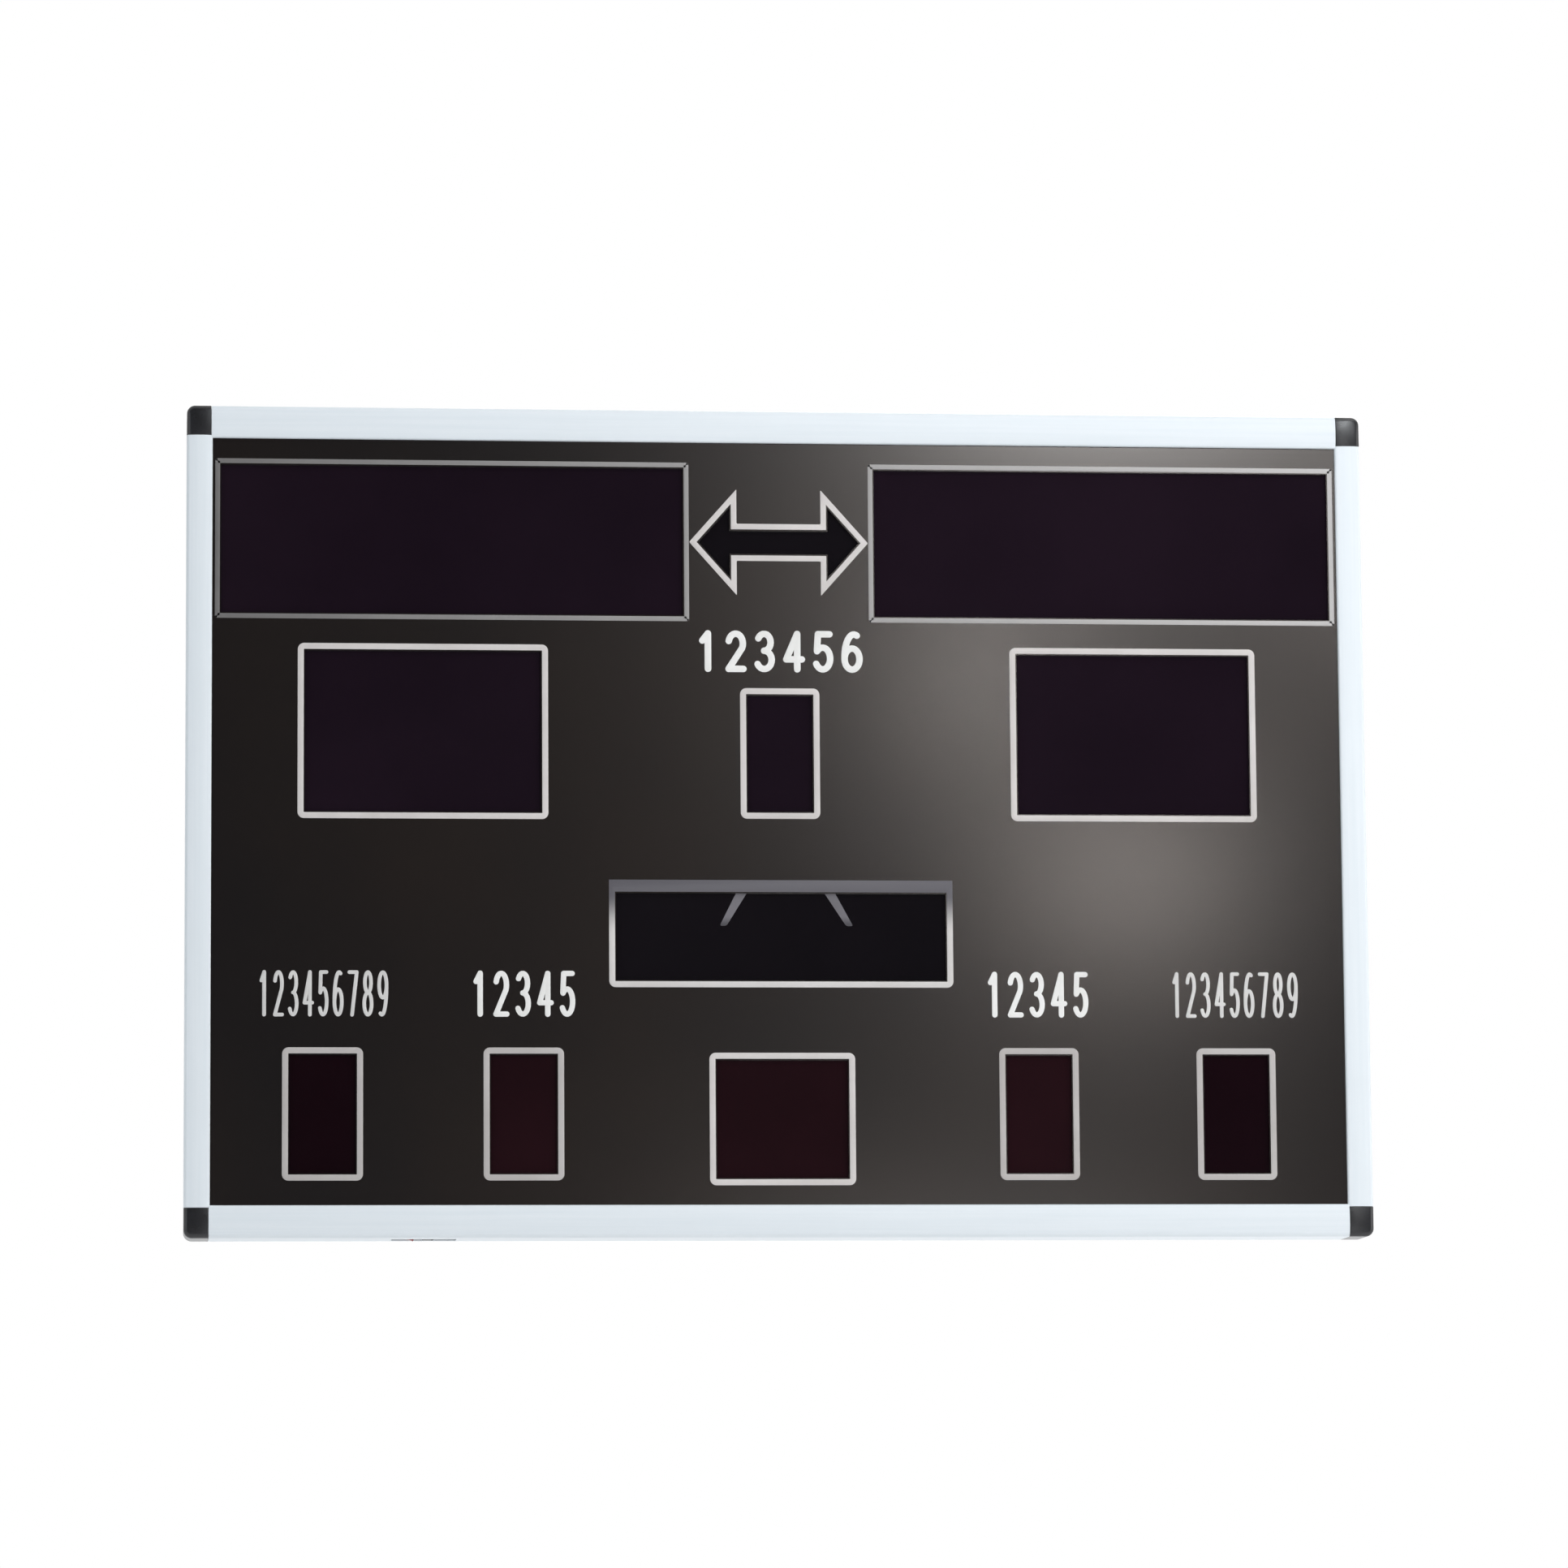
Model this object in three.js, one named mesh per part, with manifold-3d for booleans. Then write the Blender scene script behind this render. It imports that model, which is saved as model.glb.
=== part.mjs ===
// Wall-hung electronic scoreboard with an aluminium frame, a black face panel and twelve display windows.
// Millimetres, +Z up, front facing -Y. The origin is the middle of the hanging rail's wall face.
import * as THREE from "three";
import { mergeVertices } from "three/addons/utils/BufferGeometryUtils.js";
import Module from "manifold-3d";

const wasm = await Module();
wasm.setup();

// Whole board, without the hanging rail behind it
const boardWidth = 1300;
const boardHeight = 912;
const frameDepth = 60;
const cornerRadius = 9; // outer corners of the board, seen from the front

// Frame bars: the top and bottom bars are wider than the side bars
const railWidth = 35.7;
const stileWidth = 28.2;
const barWall = 1.8;
const crownRise = 1; // how far the face of a bar swells forward
const outerEdgeRadius = 5;
const innerEdgeRadius = 2;
const grooveDepth = 8; // groove that holds the face panel's edge
const panelSetback = 6; // face panel behind the front of the frame
const backRebate = 4; // step at the back that takes the back panel

// Corner pieces, and the barbed arms that plug into the bars
const capWidth = 26.7;
const capHeight = 32.8;
const armLength = 48;
const barbCount = 6;
const barbDepth = 1.2;

// Clearances
const fitGap = 0.3; // between pieces that touch
const panelEdgeGap = 1; // face panel's edge to the bottom of its groove
const glueLine = 0.1; // under an outline, and between a pane and the face panel
const overrun = 2; // how far a cutting shape passes the surface
const bond = 0.5; // how far fused features run into each other

// Face panel and panes
const panelThickness = 3;
const paneThickness = 3;
const paneBorder = 7; // how far a pane passes its cut-out all round
const cutMargin = 1.2; // black edge between an outline and its cut-out

// Outlines round the windows; window sizes below are the outlines' outer sizes
const outlineThickness = 0.4;
const outlineStroke = 6.6;
const nameStroke = 5.3;
const outlineOuterRadius = 7;
const nameOuterRadius = 2.7;
const clockBarThickness = 13.2; // the clock window's heavy top line

// Rows of windows from the top down: the gaps, and how the rows share the height that is left
const nameTopGap = 22.3;
const scoreTopGap = 27;
const clockGap = 66.2; // above the clock window, and below it
const bottomRowGap = 26.7;
const nameRowShare = 0.2797;
const scoreRowShare = 0.305;
const clockRowShare = 0.1866;
const bottomRowShare = 0.2287;

// Name windows, one on each side of the arrow
const nameSideGap = 2.95; // to the side bar

// Arrow between the name windows, by its outer edge
const arrowHalfLength = 99;
const arrowHeadHalfHeight = 59.2;
const arrowHeadBaseX = 46.5;
const arrowShaftHalfHeight = 20.7;

// Score windows, below the name windows
const scoreWidth = 273.5;
const scoreSideGap = 93.5;

// One-digit windows: period, fouls and time-outs
const digitWindowWidth = 87.6;
const periodLift = 1.4; // its lower line above the score windows' lower line
const timeOutSideGap = 77.5;
const foulPlaceShare = 0.564; // of the time-out windows' distance from the middle

// Shot window in the bottom row, and the clock window above it
const shotWidth = 159.8;
const shotDrop = 5.4; // below the other windows of its row
const clockWidth = 377.8;

// Display boards behind the panes
const displayDepth = 18; // light wells and their floor
const wellDepth = 13;
const boardThickness = 1.6;
const displayOverlap = 2; // display housing past its cut-out
const postRadius = 3;
const postOffset = 5; // posts above and below the pane
const postInset = 12;
const boardEdge = 2; // circuit board past its posts
const headerWidth = 24;
const headerHeight = 8;
const headerDepth = 7;
const segmentLeanShare = 0.12; // sideways lean of the digits, of their height
const digitHeightShare = 0.84; // of the window
const digitWidthShare = 0.5; // of the digit's height
const narrowDigitShare = 0.62; // most of a digit's pitch that it may fill
const segmentShare = 0.13; // segment width, of the digit's height
const segmentGapShare = 0.16; // gap at a segment's ends, of its width
const colonShare = 0.22; // distance of the colon's dots from the middle, of the digit's height
const tileGap = 1;
const tileCount = 3;
const louvreRowCount = 13;
const louvreReach = 4;
const louvreShare = 0.3; // thickness of a louvre, of the row pitch
const arrowWellWall = 3;

// Back panel
const backThickness = 1.5;
const backEdgeGap = 0.5;
const screwHeadRadius = 3.5;
const screwHeadHeight = 1.6;
const screwInset = 9;
const screwAcrossCount = 6;
const screwUpCount = 4;
const ventSlotLength = 46;
const ventSlotHeight = 5;
const ventPitch = 12;
const ventRowCount = 7;
const ventSideGap = 105; // middle of a vent field to the side of the board
const ventEndGap = 181; // and to its top or bottom
const hornSlotCount = 5;

// Hanging rail on the back, and the rubber bumpers below it
const standOff = 8; // wall behind the frame
const hangRailLength = 900;
const hangRailThickness = 2;
const hangFlangeHeight = 30;
const hangLipHeight = 26;
const hangLipDrop = 156; // middle of the lip, below the top of the board
const hangBoltRadius = 5;
const hangBoltHeight = 3.5;
const hangBoltCount = 6;
const hangBoltInset = 60;
const bumperRadius = 16;
const bumperTaper = 3;
const bumperSideGap = 130;
const bumperRise = 61; // above the bottom of the board

// Power supply, controller and horn, fastened inside the back panel
const supplyWidth = 215;
const supplyHeight = 115;
const supplyDepth = 30;
const supplySideGap = 230; // middle of the supply to the side of the board
const supplyRise = 31.9; // above the middle of the clock window
const terminalLength = 20;
const terminalDrop = 12;
const terminalRibCount = 7;
const terminalRibThickness = 1.5;
const supplyVentCount = 9;
const supplyVentWidth = 4;
const supplyVentLength = 70;
const supplyVentPitch = 16;
const supplyVentDepth = 1;
const controllerWidth = 170;
const controllerHeight = 110;
const controllerGapShare = 0.19; // horn to controller, of the width left beside the clock display
const spacerHeight = 8;
const spacerRadius = 3.5;
const spacerInset = 8;
const chipSide = 22;
const chipDepth = 3;
const chipPitch = 44; // from the middle chip to the next one
const connectorWidth = 48;
const capacitorCount = 3;
const capacitorPitch = 22;
const capacitorRadius = 7;
const capacitorDepth = 18;
const receiverWidth = 40;
const receiverHeight = 24;
const receiverDepth = 5;
const hornGapShare = 0.178; // clock display to horn, of the width left beside it
const hornRise = 11.9; // above the middle of the clock window
const hornMouthRadius = 42;
const hornThroatRadius = 12;
const hornCanRadius = 24;
const hornFlareLength = 20.4;
const hornWall = 2;
const hornLength = 34;
const hornFlange = 5;

// Mains inlet in the underside of the bottom bar
const inletSideGap = 260; // middle of the inlet to the left side of the board
const inletBackGap = 5.5; // from the step that takes the back panel
const inletFlangeReach = 4; // past each end of the body
const inletFlangeEdge = 2.5; // past each side of the body
const inletFlangeThickness = 2;
const inletFlangeRadius = 3;
const inletBodyLength = 70;
const inletBodyWidth = 25;
const inletBodyHeight = 39;
const inletWall = 1.6;
const socketLength = 16.6;
const socketWidth = 21.6;
const socketDepth = 16;
const socketChamfer = 4;
const pinLength = 13;
const pinThickness = 2;
const pinBreadth = 4;
const pinSpread = 6.6;
const earthPinOffset = 3;
const tabHeight = 7;
const tabThickness = 0.8;
const tabBreadth = 6;
const tabPitch = 14;
const tabCount = 3;

// Fuse drawer, beside the socket
const drawerLength = 9;
const drawerWidth = 20;
const drawerDepth = 24;
const drawerLip = 2.2;
const drawerLipEdge = 1.2;
const drawerGripDepth = 1;
const drawerX = 4.6; // from the middle of the inlet

// Rocker switch, at the other end of the inlet
const rockerX = 19.3; // left of the middle of the inlet
const rockerLength = 20;
const rockerWidth = 12;
const rockerTiltDegrees = 10; // to each side
const rockerPivotDepth = 8.5;
const rockerEndHeight = 2.4; // outer end of a paddle beyond its middle
const rockerBelly = 6;
const axleRadius = 1.8;
const axleLength = 2;
const socketX = 24.4; // from the middle of the inlet

// Leads inside the case
const leadRadius = 3.5;
const leadSideCount = 8;
const leadStepShare = 3; // length of a step, of the lead's diameter
const leadStub = 14; // straight run at an end
const leadBend = 42; // and from there into the bend

// Counts of flat faces on round forms
const arcStepCount = 4;
const roundStepCount = 12;
const smallRoundStepCount = 8;
const hexSideCount = 6; // spacers, bolt heads and screw heads

// Sizes that follow from the ones above
const innerHalfWidth = boardWidth / 2 - stileWidth;
const innerHalfHeight = boardHeight / 2 - railWidth;
const panelBack = panelSetback + panelThickness;
const slotFront = panelSetback - fitGap;
const slotBack = panelBack + fitGap;
const backShoulder = frameDepth - backRebate;
const backFront = backShoulder + fitGap;
const backRear = backFront + backThickness;
const wallPlane = frameDepth + standOff;
const paneFront = panelBack + glueLine;
const displayFront = paneFront + paneThickness + fitGap;
const displayBack = displayFront + displayDepth;
const inletY = backShoulder - inletBackGap - inletBodyWidth / 2;
const inletX = inletSideGap - boardWidth / 2;
const inletZ = barWall + 2 * fitGap + inletFlangeThickness - boardHeight / 2;
const hangLipZ = boardHeight / 2 - hangLipDrop;

const acrossX = new THREE.Vector3(1, 0, 0);
const acrossY = new THREE.Vector3(0, 1, 0);
const upZ = new THREE.Vector3(0, 0, 1);
const leftward = acrossX.clone().negate();
const downward = upZ.clone().negate();

// Solids: joining and cutting closed meshes

function toSolid(geometry) {
  const bare = geometry.index ? geometry.toNonIndexed() : geometry.clone();
  bare.deleteAttribute("normal");
  bare.deleteAttribute("uv");
  const merged = mergeVertices(bare);
  return new wasm.Manifold(
    new wasm.Mesh({
      numProp: 3,
      vertProperties: merged.attributes.position.array,
      triVerts: new Uint32Array(merged.index.array),
    }),
  );
}

function toGeometry(solid) {
  const mesh = solid.getMesh();
  const shared = new THREE.BufferGeometry();
  shared.setAttribute("position", new THREE.BufferAttribute(mesh.vertProperties, 3));
  shared.setIndex(new THREE.BufferAttribute(mesh.triVerts, 1));
  const geometry = shared.toNonIndexed();
  geometry.computeVertexNormals();
  return geometry;
}

function join(first, ...others) {
  return toGeometry(others.reduce((sum, other) => sum.add(toSolid(other)), toSolid(first)));
}

function cut(base, ...tools) {
  return toGeometry(tools.reduce((rest, tool) => rest.subtract(toSolid(tool)), toSolid(base)));
}

function common(first, ...others) {
  return toGeometry(others.reduce((rest, other) => rest.intersect(toSolid(other)), toSolid(first)));
}

// Plain forms

function block(x0, x1, y0, y1, z0, z1) {
  const geometry = new THREE.BoxGeometry(x1 - x0, y1 - y0, z1 - z0);
  return geometry.translate((x0 + x1) / 2, (y0 + y1) / 2, (z0 + z1) / 2);
}

function extrude(shape, depth) {
  return new THREE.ExtrudeGeometry(shape, { depth, bevelEnabled: false, curveSegments: arcStepCount });
}

// A flat piece drawn in the board's face (shape x, y = board X, Z), from one depth to another
function plate(shape, front, back) {
  return extrude(shape, back - front).rotateX(Math.PI / 2).translate(0, back, 0);
}

// A round rod or disc along Y
function rodY(radius, front, back, x, z, backRadius = radius, sides = smallRoundStepCount) {
  const rod = new THREE.CylinderGeometry(backRadius, radius, back - front, sides);
  return rod.translate(x, (front + back) / 2, z);
}

// A hexagonal spacer or bolt head along Y
function spacer(radius, front, back, x, z) {
  return rodY(radius, front, back, x, z, radius, hexSideCount);
}

function polygon(points, Kind = THREE.Shape) {
  const path = new Kind();
  points.forEach(([x, y], i) => (i ? path.lineTo(x, y) : path.moveTo(x, y)));
  path.closePath();
  return path;
}

function rectangle([left, right, bottom, top], Kind = THREE.Shape) {
  return polygon([[left, bottom], [right, bottom], [right, top], [left, top]], Kind);
}

function roundedRectangle([left, right, bottom, top], radius, squareTop = false) {
  const path = new THREE.Shape();
  path.moveTo(left + radius, bottom);
  path.absarc(right - radius, bottom + radius, radius, -Math.PI / 2, 0, false);
  if (squareTop) {
    path.lineTo(right, top);
    path.lineTo(left, top);
  } else {
    path.absarc(right - radius, top - radius, radius, 0, Math.PI / 2, false);
    path.absarc(left + radius, top - radius, radius, Math.PI / 2, Math.PI, false);
  }
  path.absarc(left + radius, bottom + radius, radius, Math.PI, 1.5 * Math.PI, false);
  path.closePath();
  return path;
}

// The polygon moved inward by a distance, with pointed corners; points run anticlockwise
function inset(points, distance) {
  const count = points.length;
  return points.map((point, i) => {
    const here = new THREE.Vector2(...point);
    const before = here.clone().sub(new THREE.Vector2(...points[(i + count - 1) % count])).normalize();
    const after = new THREE.Vector2(...points[(i + 1) % count]).sub(here).normalize();
    const normalBefore = new THREE.Vector2(-before.y, before.x);
    const normalAfter = new THREE.Vector2(-after.y, after.x);
    const corner = normalBefore.clone().add(normalAfter);
    corner.multiplyScalar(distance / (1 + normalBefore.dot(normalAfter)));
    return [here.x + corner.x, here.y + corner.y];
  });
}

// Materials

function finish(color, roughness, metalness = 0) {
  return () => new THREE.MeshStandardMaterial({ color, roughness, metalness });
}

const satinAluminium = finish(0xdfe3e8, 0.35, 0.9);
const cornerPlastic = finish(0x26282b, 0.5);
const panelBlack = finish(0x34312f, 0.42);
const outlineWhite = finish(0xd8d3cf, 0.6);
const smokedPane = finish(0x17101a, 0.08);
const displayBlack = finish(0x141414, 0.8);
const circuitGreen = finish(0x1d4a2c, 0.6);
const sheetSteel = finish(0x9aa0a4, 0.5, 0.7);
const backBlack = finish(0x2b2c2e, 0.6, 0.3);
const rubberBlack = finish(0x1a1a1a, 0.9);
const inletPlastic = finish(0x1c1c1e, 0.45);
const rockerRed = finish(0x8f1d1a, 0.4);
const leadSheath = finish(0x1f1f21, 0.6);

function piece(name, geometry, material) {
  const mesh = new THREE.Mesh(geometry, material());
  mesh.name = name;
  return mesh;
}

// Frame bars. A section is drawn with x from the outer edge inward and y from the front back.

function sectionFront(shape, width) {
  const outerY = crownRise + outerEdgeRadius;
  const innerX = width - innerEdgeRadius;
  shape.lineTo(0, outerY);
  shape.absarc(outerEdgeRadius, outerY, outerEdgeRadius, Math.PI, 1.5 * Math.PI, false);
  shape.quadraticCurveTo((outerEdgeRadius + innerX) / 2, -crownRise, innerX, crownRise);
  shape.absarc(innerX, crownRise + innerEdgeRadius, innerEdgeRadius, 1.5 * Math.PI, 2 * Math.PI, false);
}

function barSection(width) {
  const shape = new THREE.Shape();
  shape.moveTo(0, frameDepth);
  sectionFront(shape, width);
  shape.lineTo(width, slotFront);
  shape.lineTo(width - grooveDepth, slotFront);
  shape.lineTo(width - grooveDepth, slotBack);
  shape.lineTo(width, slotBack);
  shape.lineTo(width, backShoulder);
  shape.lineTo(barWall, backShoulder);
  shape.lineTo(barWall, frameDepth);
  shape.closePath();
  const chamber = [
    [barWall, crownRise + outerEdgeRadius],
    [outerEdgeRadius, crownRise + barWall],
    [width - grooveDepth - barWall, crownRise + barWall],
    [width - grooveDepth - barWall, slotBack + barWall],
    [width - barWall, slotBack + barWall],
    [width - barWall, backShoulder - barWall],
    [barWall, backShoulder - barWall],
  ];
  shape.holes.push(polygon(chamber, THREE.Path));
  return shape;
}

function solidSection(width) {
  const shape = new THREE.Shape();
  shape.moveTo(0, backShoulder);
  sectionFront(shape, width);
  shape.lineTo(width, backShoulder);
  shape.closePath();
  return shape;
}

// A bar's ends are square where they meet a corner piece and mitred inside it
function bar(width, seamHalfLength, capReach, innerHalfLength) {
  const seam = seamHalfLength - fitGap;
  const mitre = innerHalfLength - fitGap;
  const blank = extrude(barSection(width), 2 * seam).translate(0, 0, -seam);
  const ends = polygon([
    [-seam, -overrun],
    [seam, -overrun],
    [seam, capReach],
    [mitre, width],
    [mitre, width + overrun],
    [-mitre, width + overrun],
    [-mitre, width],
    [-seam, capReach],
  ]);
  const trim = extrude(ends, frameDepth + 2 * overrun).translate(0, 0, -overrun);
  trim.applyMatrix4(new THREE.Matrix4().makeBasis(upZ, acrossX, acrossY));
  return common(blank, trim);
}

function turnBar(mesh, inward, along) {
  const basis = new THREE.Matrix4().makeBasis(inward, acrossY, along);
  mesh.quaternion.setFromRotationMatrix(basis);
  mesh.position.copy(inward).multiply(new THREE.Vector3(boardWidth / 2, 0, boardHeight / 2)).negate();
  return mesh;
}

function rail() {
  return bar(railWidth, boardWidth / 2 - capWidth, capHeight, innerHalfWidth);
}

function stile() {
  return bar(stileWidth, boardHeight / 2 - capHeight, capWidth, innerHalfHeight);
}

// The bottom bar is open through both walls where the mains inlet passes
function bottomRail() {
  const halfLength = inletBodyLength / 2 + fitGap;
  const halfWidth = inletBodyWidth / 2 + fitGap;
  const along = -inletX;
  const opening = block(
    -overrun,
    railWidth + overrun,
    inletY - halfWidth,
    inletY + halfWidth,
    along - halfLength,
    along + halfLength,
  );
  return cut(rail(), opening);
}

// Corner piece of the top left corner, drawn from the board's outer corner: +X inward, -Z inward

function barbedArm(low, high) {
  const outline = new THREE.Shape();
  const pitch = armLength / barbCount;
  const steps = [...Array(barbCount).keys()];
  outline.moveTo(-overrun, low);
  steps.forEach((i) => {
    outline.lineTo(i * pitch, low);
    outline.lineTo((i + 1) * pitch, low + barbDepth);
  });
  steps.reverse().forEach((i) => {
    outline.lineTo((i + 1) * pitch, high - barbDepth);
    outline.lineTo(i * pitch, high);
  });
  outline.lineTo(-overrun, high);
  outline.closePath();
  const front = slotBack + barWall + fitGap;
  const back = backShoulder - barWall - fitGap;
  return plate(outline, front, back);
}

// An arm fills its bar's chamber as far as the mitre inside the corner piece lets it
function armReach(width, capReach) {
  return Math.min(width - barWall - fitGap, capReach - 2 * fitGap);
}

function cornerLip() {
  const lip = new THREE.Shape();
  lip.moveTo(0, -capHeight + fitGap);
  lip.lineTo(barWall, -capHeight + fitGap);
  lip.lineTo(barWall, -cornerRadius);
  lip.absarc(cornerRadius, -cornerRadius, cornerRadius - barWall, Math.PI, Math.PI / 2, true);
  lip.lineTo(capWidth - fitGap, -barWall);
  lip.lineTo(capWidth - fitGap, 0);
  lip.lineTo(cornerRadius, 0);
  lip.absarc(cornerRadius, -cornerRadius, cornerRadius, Math.PI / 2, Math.PI, false);
  lip.closePath();
  return plate(lip, backShoulder - bond, frameDepth);
}

function cornerPiece() {
  const alongRail = extrude(solidSection(railWidth), capWidth);
  alongRail.applyMatrix4(new THREE.Matrix4().makeBasis(downward, acrossY, acrossX));
  const alongStile = extrude(solidSection(stileWidth), capHeight);
  alongStile.applyMatrix4(new THREE.Matrix4().makeBasis(acrossX, acrossY, upZ));
  alongStile.translate(0, 0, -capHeight);
  const rounded = new THREE.Shape();
  rounded.moveTo(0, -capHeight);
  rounded.lineTo(capWidth, -capHeight);
  rounded.lineTo(capWidth, 0);
  rounded.lineTo(cornerRadius, 0);
  rounded.absarc(cornerRadius, -cornerRadius, cornerRadius, Math.PI / 2, Math.PI, false);
  rounded.closePath();
  const body = common(alongRail, alongStile, plate(rounded, -overrun, frameDepth));
  const railArm = barbedArm(-armReach(railWidth, capHeight), -barWall - fitGap);
  railArm.translate(capWidth - fitGap, 0, 0);
  const stileArm = barbedArm(barWall + fitGap, armReach(stileWidth, capWidth));
  stileArm.rotateY(Math.PI / 2).translate(0, 0, -capHeight + fitGap);
  const panelCorner = block(
    stileWidth - grooveDepth,
    stileWidth + overrun,
    slotFront,
    slotBack,
    -railWidth - overrun,
    -railWidth + grooveDepth,
  );
  return cut(join(body, cornerLip(), railArm, stileArm), panelCorner);
}

// Windows: places and sizes by the outlines' outer edges

const rowsHeight = 2 * innerHalfHeight - nameTopGap - scoreTopGap - 2 * clockGap - bottomRowGap;
const nameHeight = rowsHeight * nameRowShare;
const scoreHeight = rowsHeight * scoreRowShare;
const clockHeight = rowsHeight * clockRowShare;
const digitWindowHeight = rowsHeight * bottomRowShare;

const nameZ = innerHalfHeight - nameTopGap - nameHeight / 2;
const scoreZ = nameZ - (nameHeight + scoreHeight) / 2 - scoreTopGap;
const scoreBottom = scoreZ - scoreHeight / 2;
const periodZ = scoreBottom + periodLift + digitWindowHeight / 2;
const clockZ = scoreBottom - clockGap - clockHeight / 2;
const rowZ = bottomRowGap + digitWindowHeight / 2 - innerHalfHeight;

const nameInnerX = arrowHalfLength + fitGap;
const nameOuterX = innerHalfWidth - nameSideGap;
const scoreX = innerHalfWidth - scoreSideGap - scoreWidth / 2;
const timeOutX = innerHalfWidth - timeOutSideGap - digitWindowWidth / 2;

const nameWindow = {
  width: nameOuterX - nameInnerX,
  height: nameHeight,
  stroke: nameStroke,
  radius: nameOuterRadius,
  digits: 0,
};
const scoreWindow = { width: scoreWidth, height: scoreHeight, digits: 3 };
const digitWindow = { width: digitWindowWidth, height: digitWindowHeight, digits: 1 };
const clockWindow = { width: clockWidth, height: clockHeight, digits: 4, bar: clockBarThickness };
const shotWindow = { width: shotWidth, height: digitWindowHeight, digits: 2 };
const pairs = [
  { name: "name", x: (nameInnerX + nameOuterX) / 2, z: nameZ, ...nameWindow },
  { name: "score", x: scoreX, z: scoreZ, ...scoreWindow },
  { name: "fouls", x: timeOutX * foulPlaceShare, z: rowZ, ...digitWindow },
  { name: "time_outs", x: timeOutX, z: rowZ, ...digitWindow },
];
const singles = [
  { name: "period", x: 0, z: periodZ, ...digitWindow },
  { name: "clock", x: 0, z: clockZ, ...clockWindow },
  { name: "shot", x: 0, z: rowZ - shotDrop, ...shotWindow },
];
const windows = [
  ...pairs.flatMap((pair) => [
    { ...pair, name: pair.name + "_left", x: -pair.x },
    { ...pair, name: pair.name + "_right" },
  ]),
  ...singles,
].map(withEdges);

// The edges of a window's outline and cut-out, from its own middle
function withEdges(window) {
  const stroke = window.stroke ?? outlineStroke;
  const topStroke = window.bar ?? stroke;
  const outer = { x: window.width / 2, z: window.height / 2 };
  const openX = outer.x - stroke;
  const openTop = outer.z - topStroke;
  const openBottom = stroke - outer.z;
  const cutEdges = [-openX + cutMargin, openX - cutMargin, openBottom + cutMargin, openTop - cutMargin];
  return { ...window, outer, open: [-openX, openX, openBottom, openTop], cut: cutEdges };
}

const arrowOutline = [
  [arrowHalfLength, 0],
  [arrowHeadBaseX, arrowHeadHalfHeight],
  [arrowHeadBaseX, arrowShaftHalfHeight],
  [-arrowHeadBaseX, arrowShaftHalfHeight],
  [-arrowHeadBaseX, arrowHeadHalfHeight],
  [-arrowHalfLength, 0],
  [-arrowHeadBaseX, -arrowHeadHalfHeight],
  [-arrowHeadBaseX, -arrowShaftHalfHeight],
  [arrowHeadBaseX, -arrowShaftHalfHeight],
  [arrowHeadBaseX, -arrowHeadHalfHeight],
];
const arrowOpen = inset(arrowOutline, outlineStroke);
const arrowCut = inset(arrowOutline, outlineStroke + cutMargin);
const arrowPaneHalfWidth = nameInnerX + nameStroke + cutMargin - paneBorder - 2 * fitGap;
const arrowPaneHalfHeight = arrowHeadHalfHeight;

function outline(window) {
  const { x, z } = window.outer;
  const radius = window.radius ?? outlineOuterRadius;
  const shape = roundedRectangle([-x, x, -z, z], radius, Boolean(window.bar));
  shape.holes.push(rectangle(window.open, THREE.Path));
  return plate(shape, panelSetback - glueLine - outlineThickness, panelSetback - glueLine);
}

function arrowOutlinePlate() {
  const shape = polygon(arrowOutline);
  shape.holes.push(polygon(arrowOpen, THREE.Path));
  return plate(shape, panelSetback - glueLine - outlineThickness, panelSetback - glueLine);
}

function grown([left, right, bottom, top], by) {
  return [left - by, right + by, bottom - by, top + by];
}

function moved(points, x, z) {
  return points.map(([px, pz]) => [px + x, pz + z]);
}

function facePanel() {
  const halfWidth = innerHalfWidth + grooveDepth - panelEdgeGap;
  const halfHeight = innerHalfHeight + grooveDepth - panelEdgeGap;
  const sheet = block(-halfWidth, halfWidth, panelSetback, panelBack, -halfHeight, halfHeight);
  const front = panelSetback - overrun;
  const back = panelBack + overrun;
  const openings = windows.map(({ x, z, cut: [left, right, bottom, top] }) => {
    return block(x + left, x + right, front, back, z + bottom, z + top);
  });
  return cut(sheet, ...openings, plate(polygon(moved(arrowCut, 0, nameZ)), front, back));
}

function pane(edges) {
  return plate(rectangle(grown(edges, paneBorder)), paneFront, paneFront + paneThickness);
}

// Display boards

function hexagon(cx, cz, length, width, upright, lean) {
  const end = length / 2;
  const shoulder = end - width / 2;
  const flat = [
    [-end, 0],
    [-shoulder, -width / 2],
    [shoulder, -width / 2],
    [end, 0],
    [shoulder, width / 2],
    [-shoulder, width / 2],
  ];
  const points = upright ? flat.map(([a, b]) => [-b, a]) : flat;
  return polygon(points.map(([a, b]) => [cx + a + (cz + b) * lean, cz + b]), THREE.Path);
}

// The light wells of one seven-segment digit round its middle
function digitWells(cx, height, width) {
  const thick = height * segmentShare;
  const halfX = (width - thick) / 2;
  const halfZ = (height - thick) / 2;
  const gap = thick * segmentGapShare;
  const wells = [halfZ, 0, -halfZ].map((z) => ({ x: 0, z, length: 2 * halfX - gap, upright: false }));
  [-halfX, halfX].forEach((x) => {
    [-halfZ / 2, halfZ / 2].forEach((z) => wells.push({ x, z, length: halfZ - gap, upright: true }));
  });
  return wells.map(({ x, z, length, upright }) => {
    return hexagon(cx + x, z, length, thick, upright, segmentLeanShare);
  });
}

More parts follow.
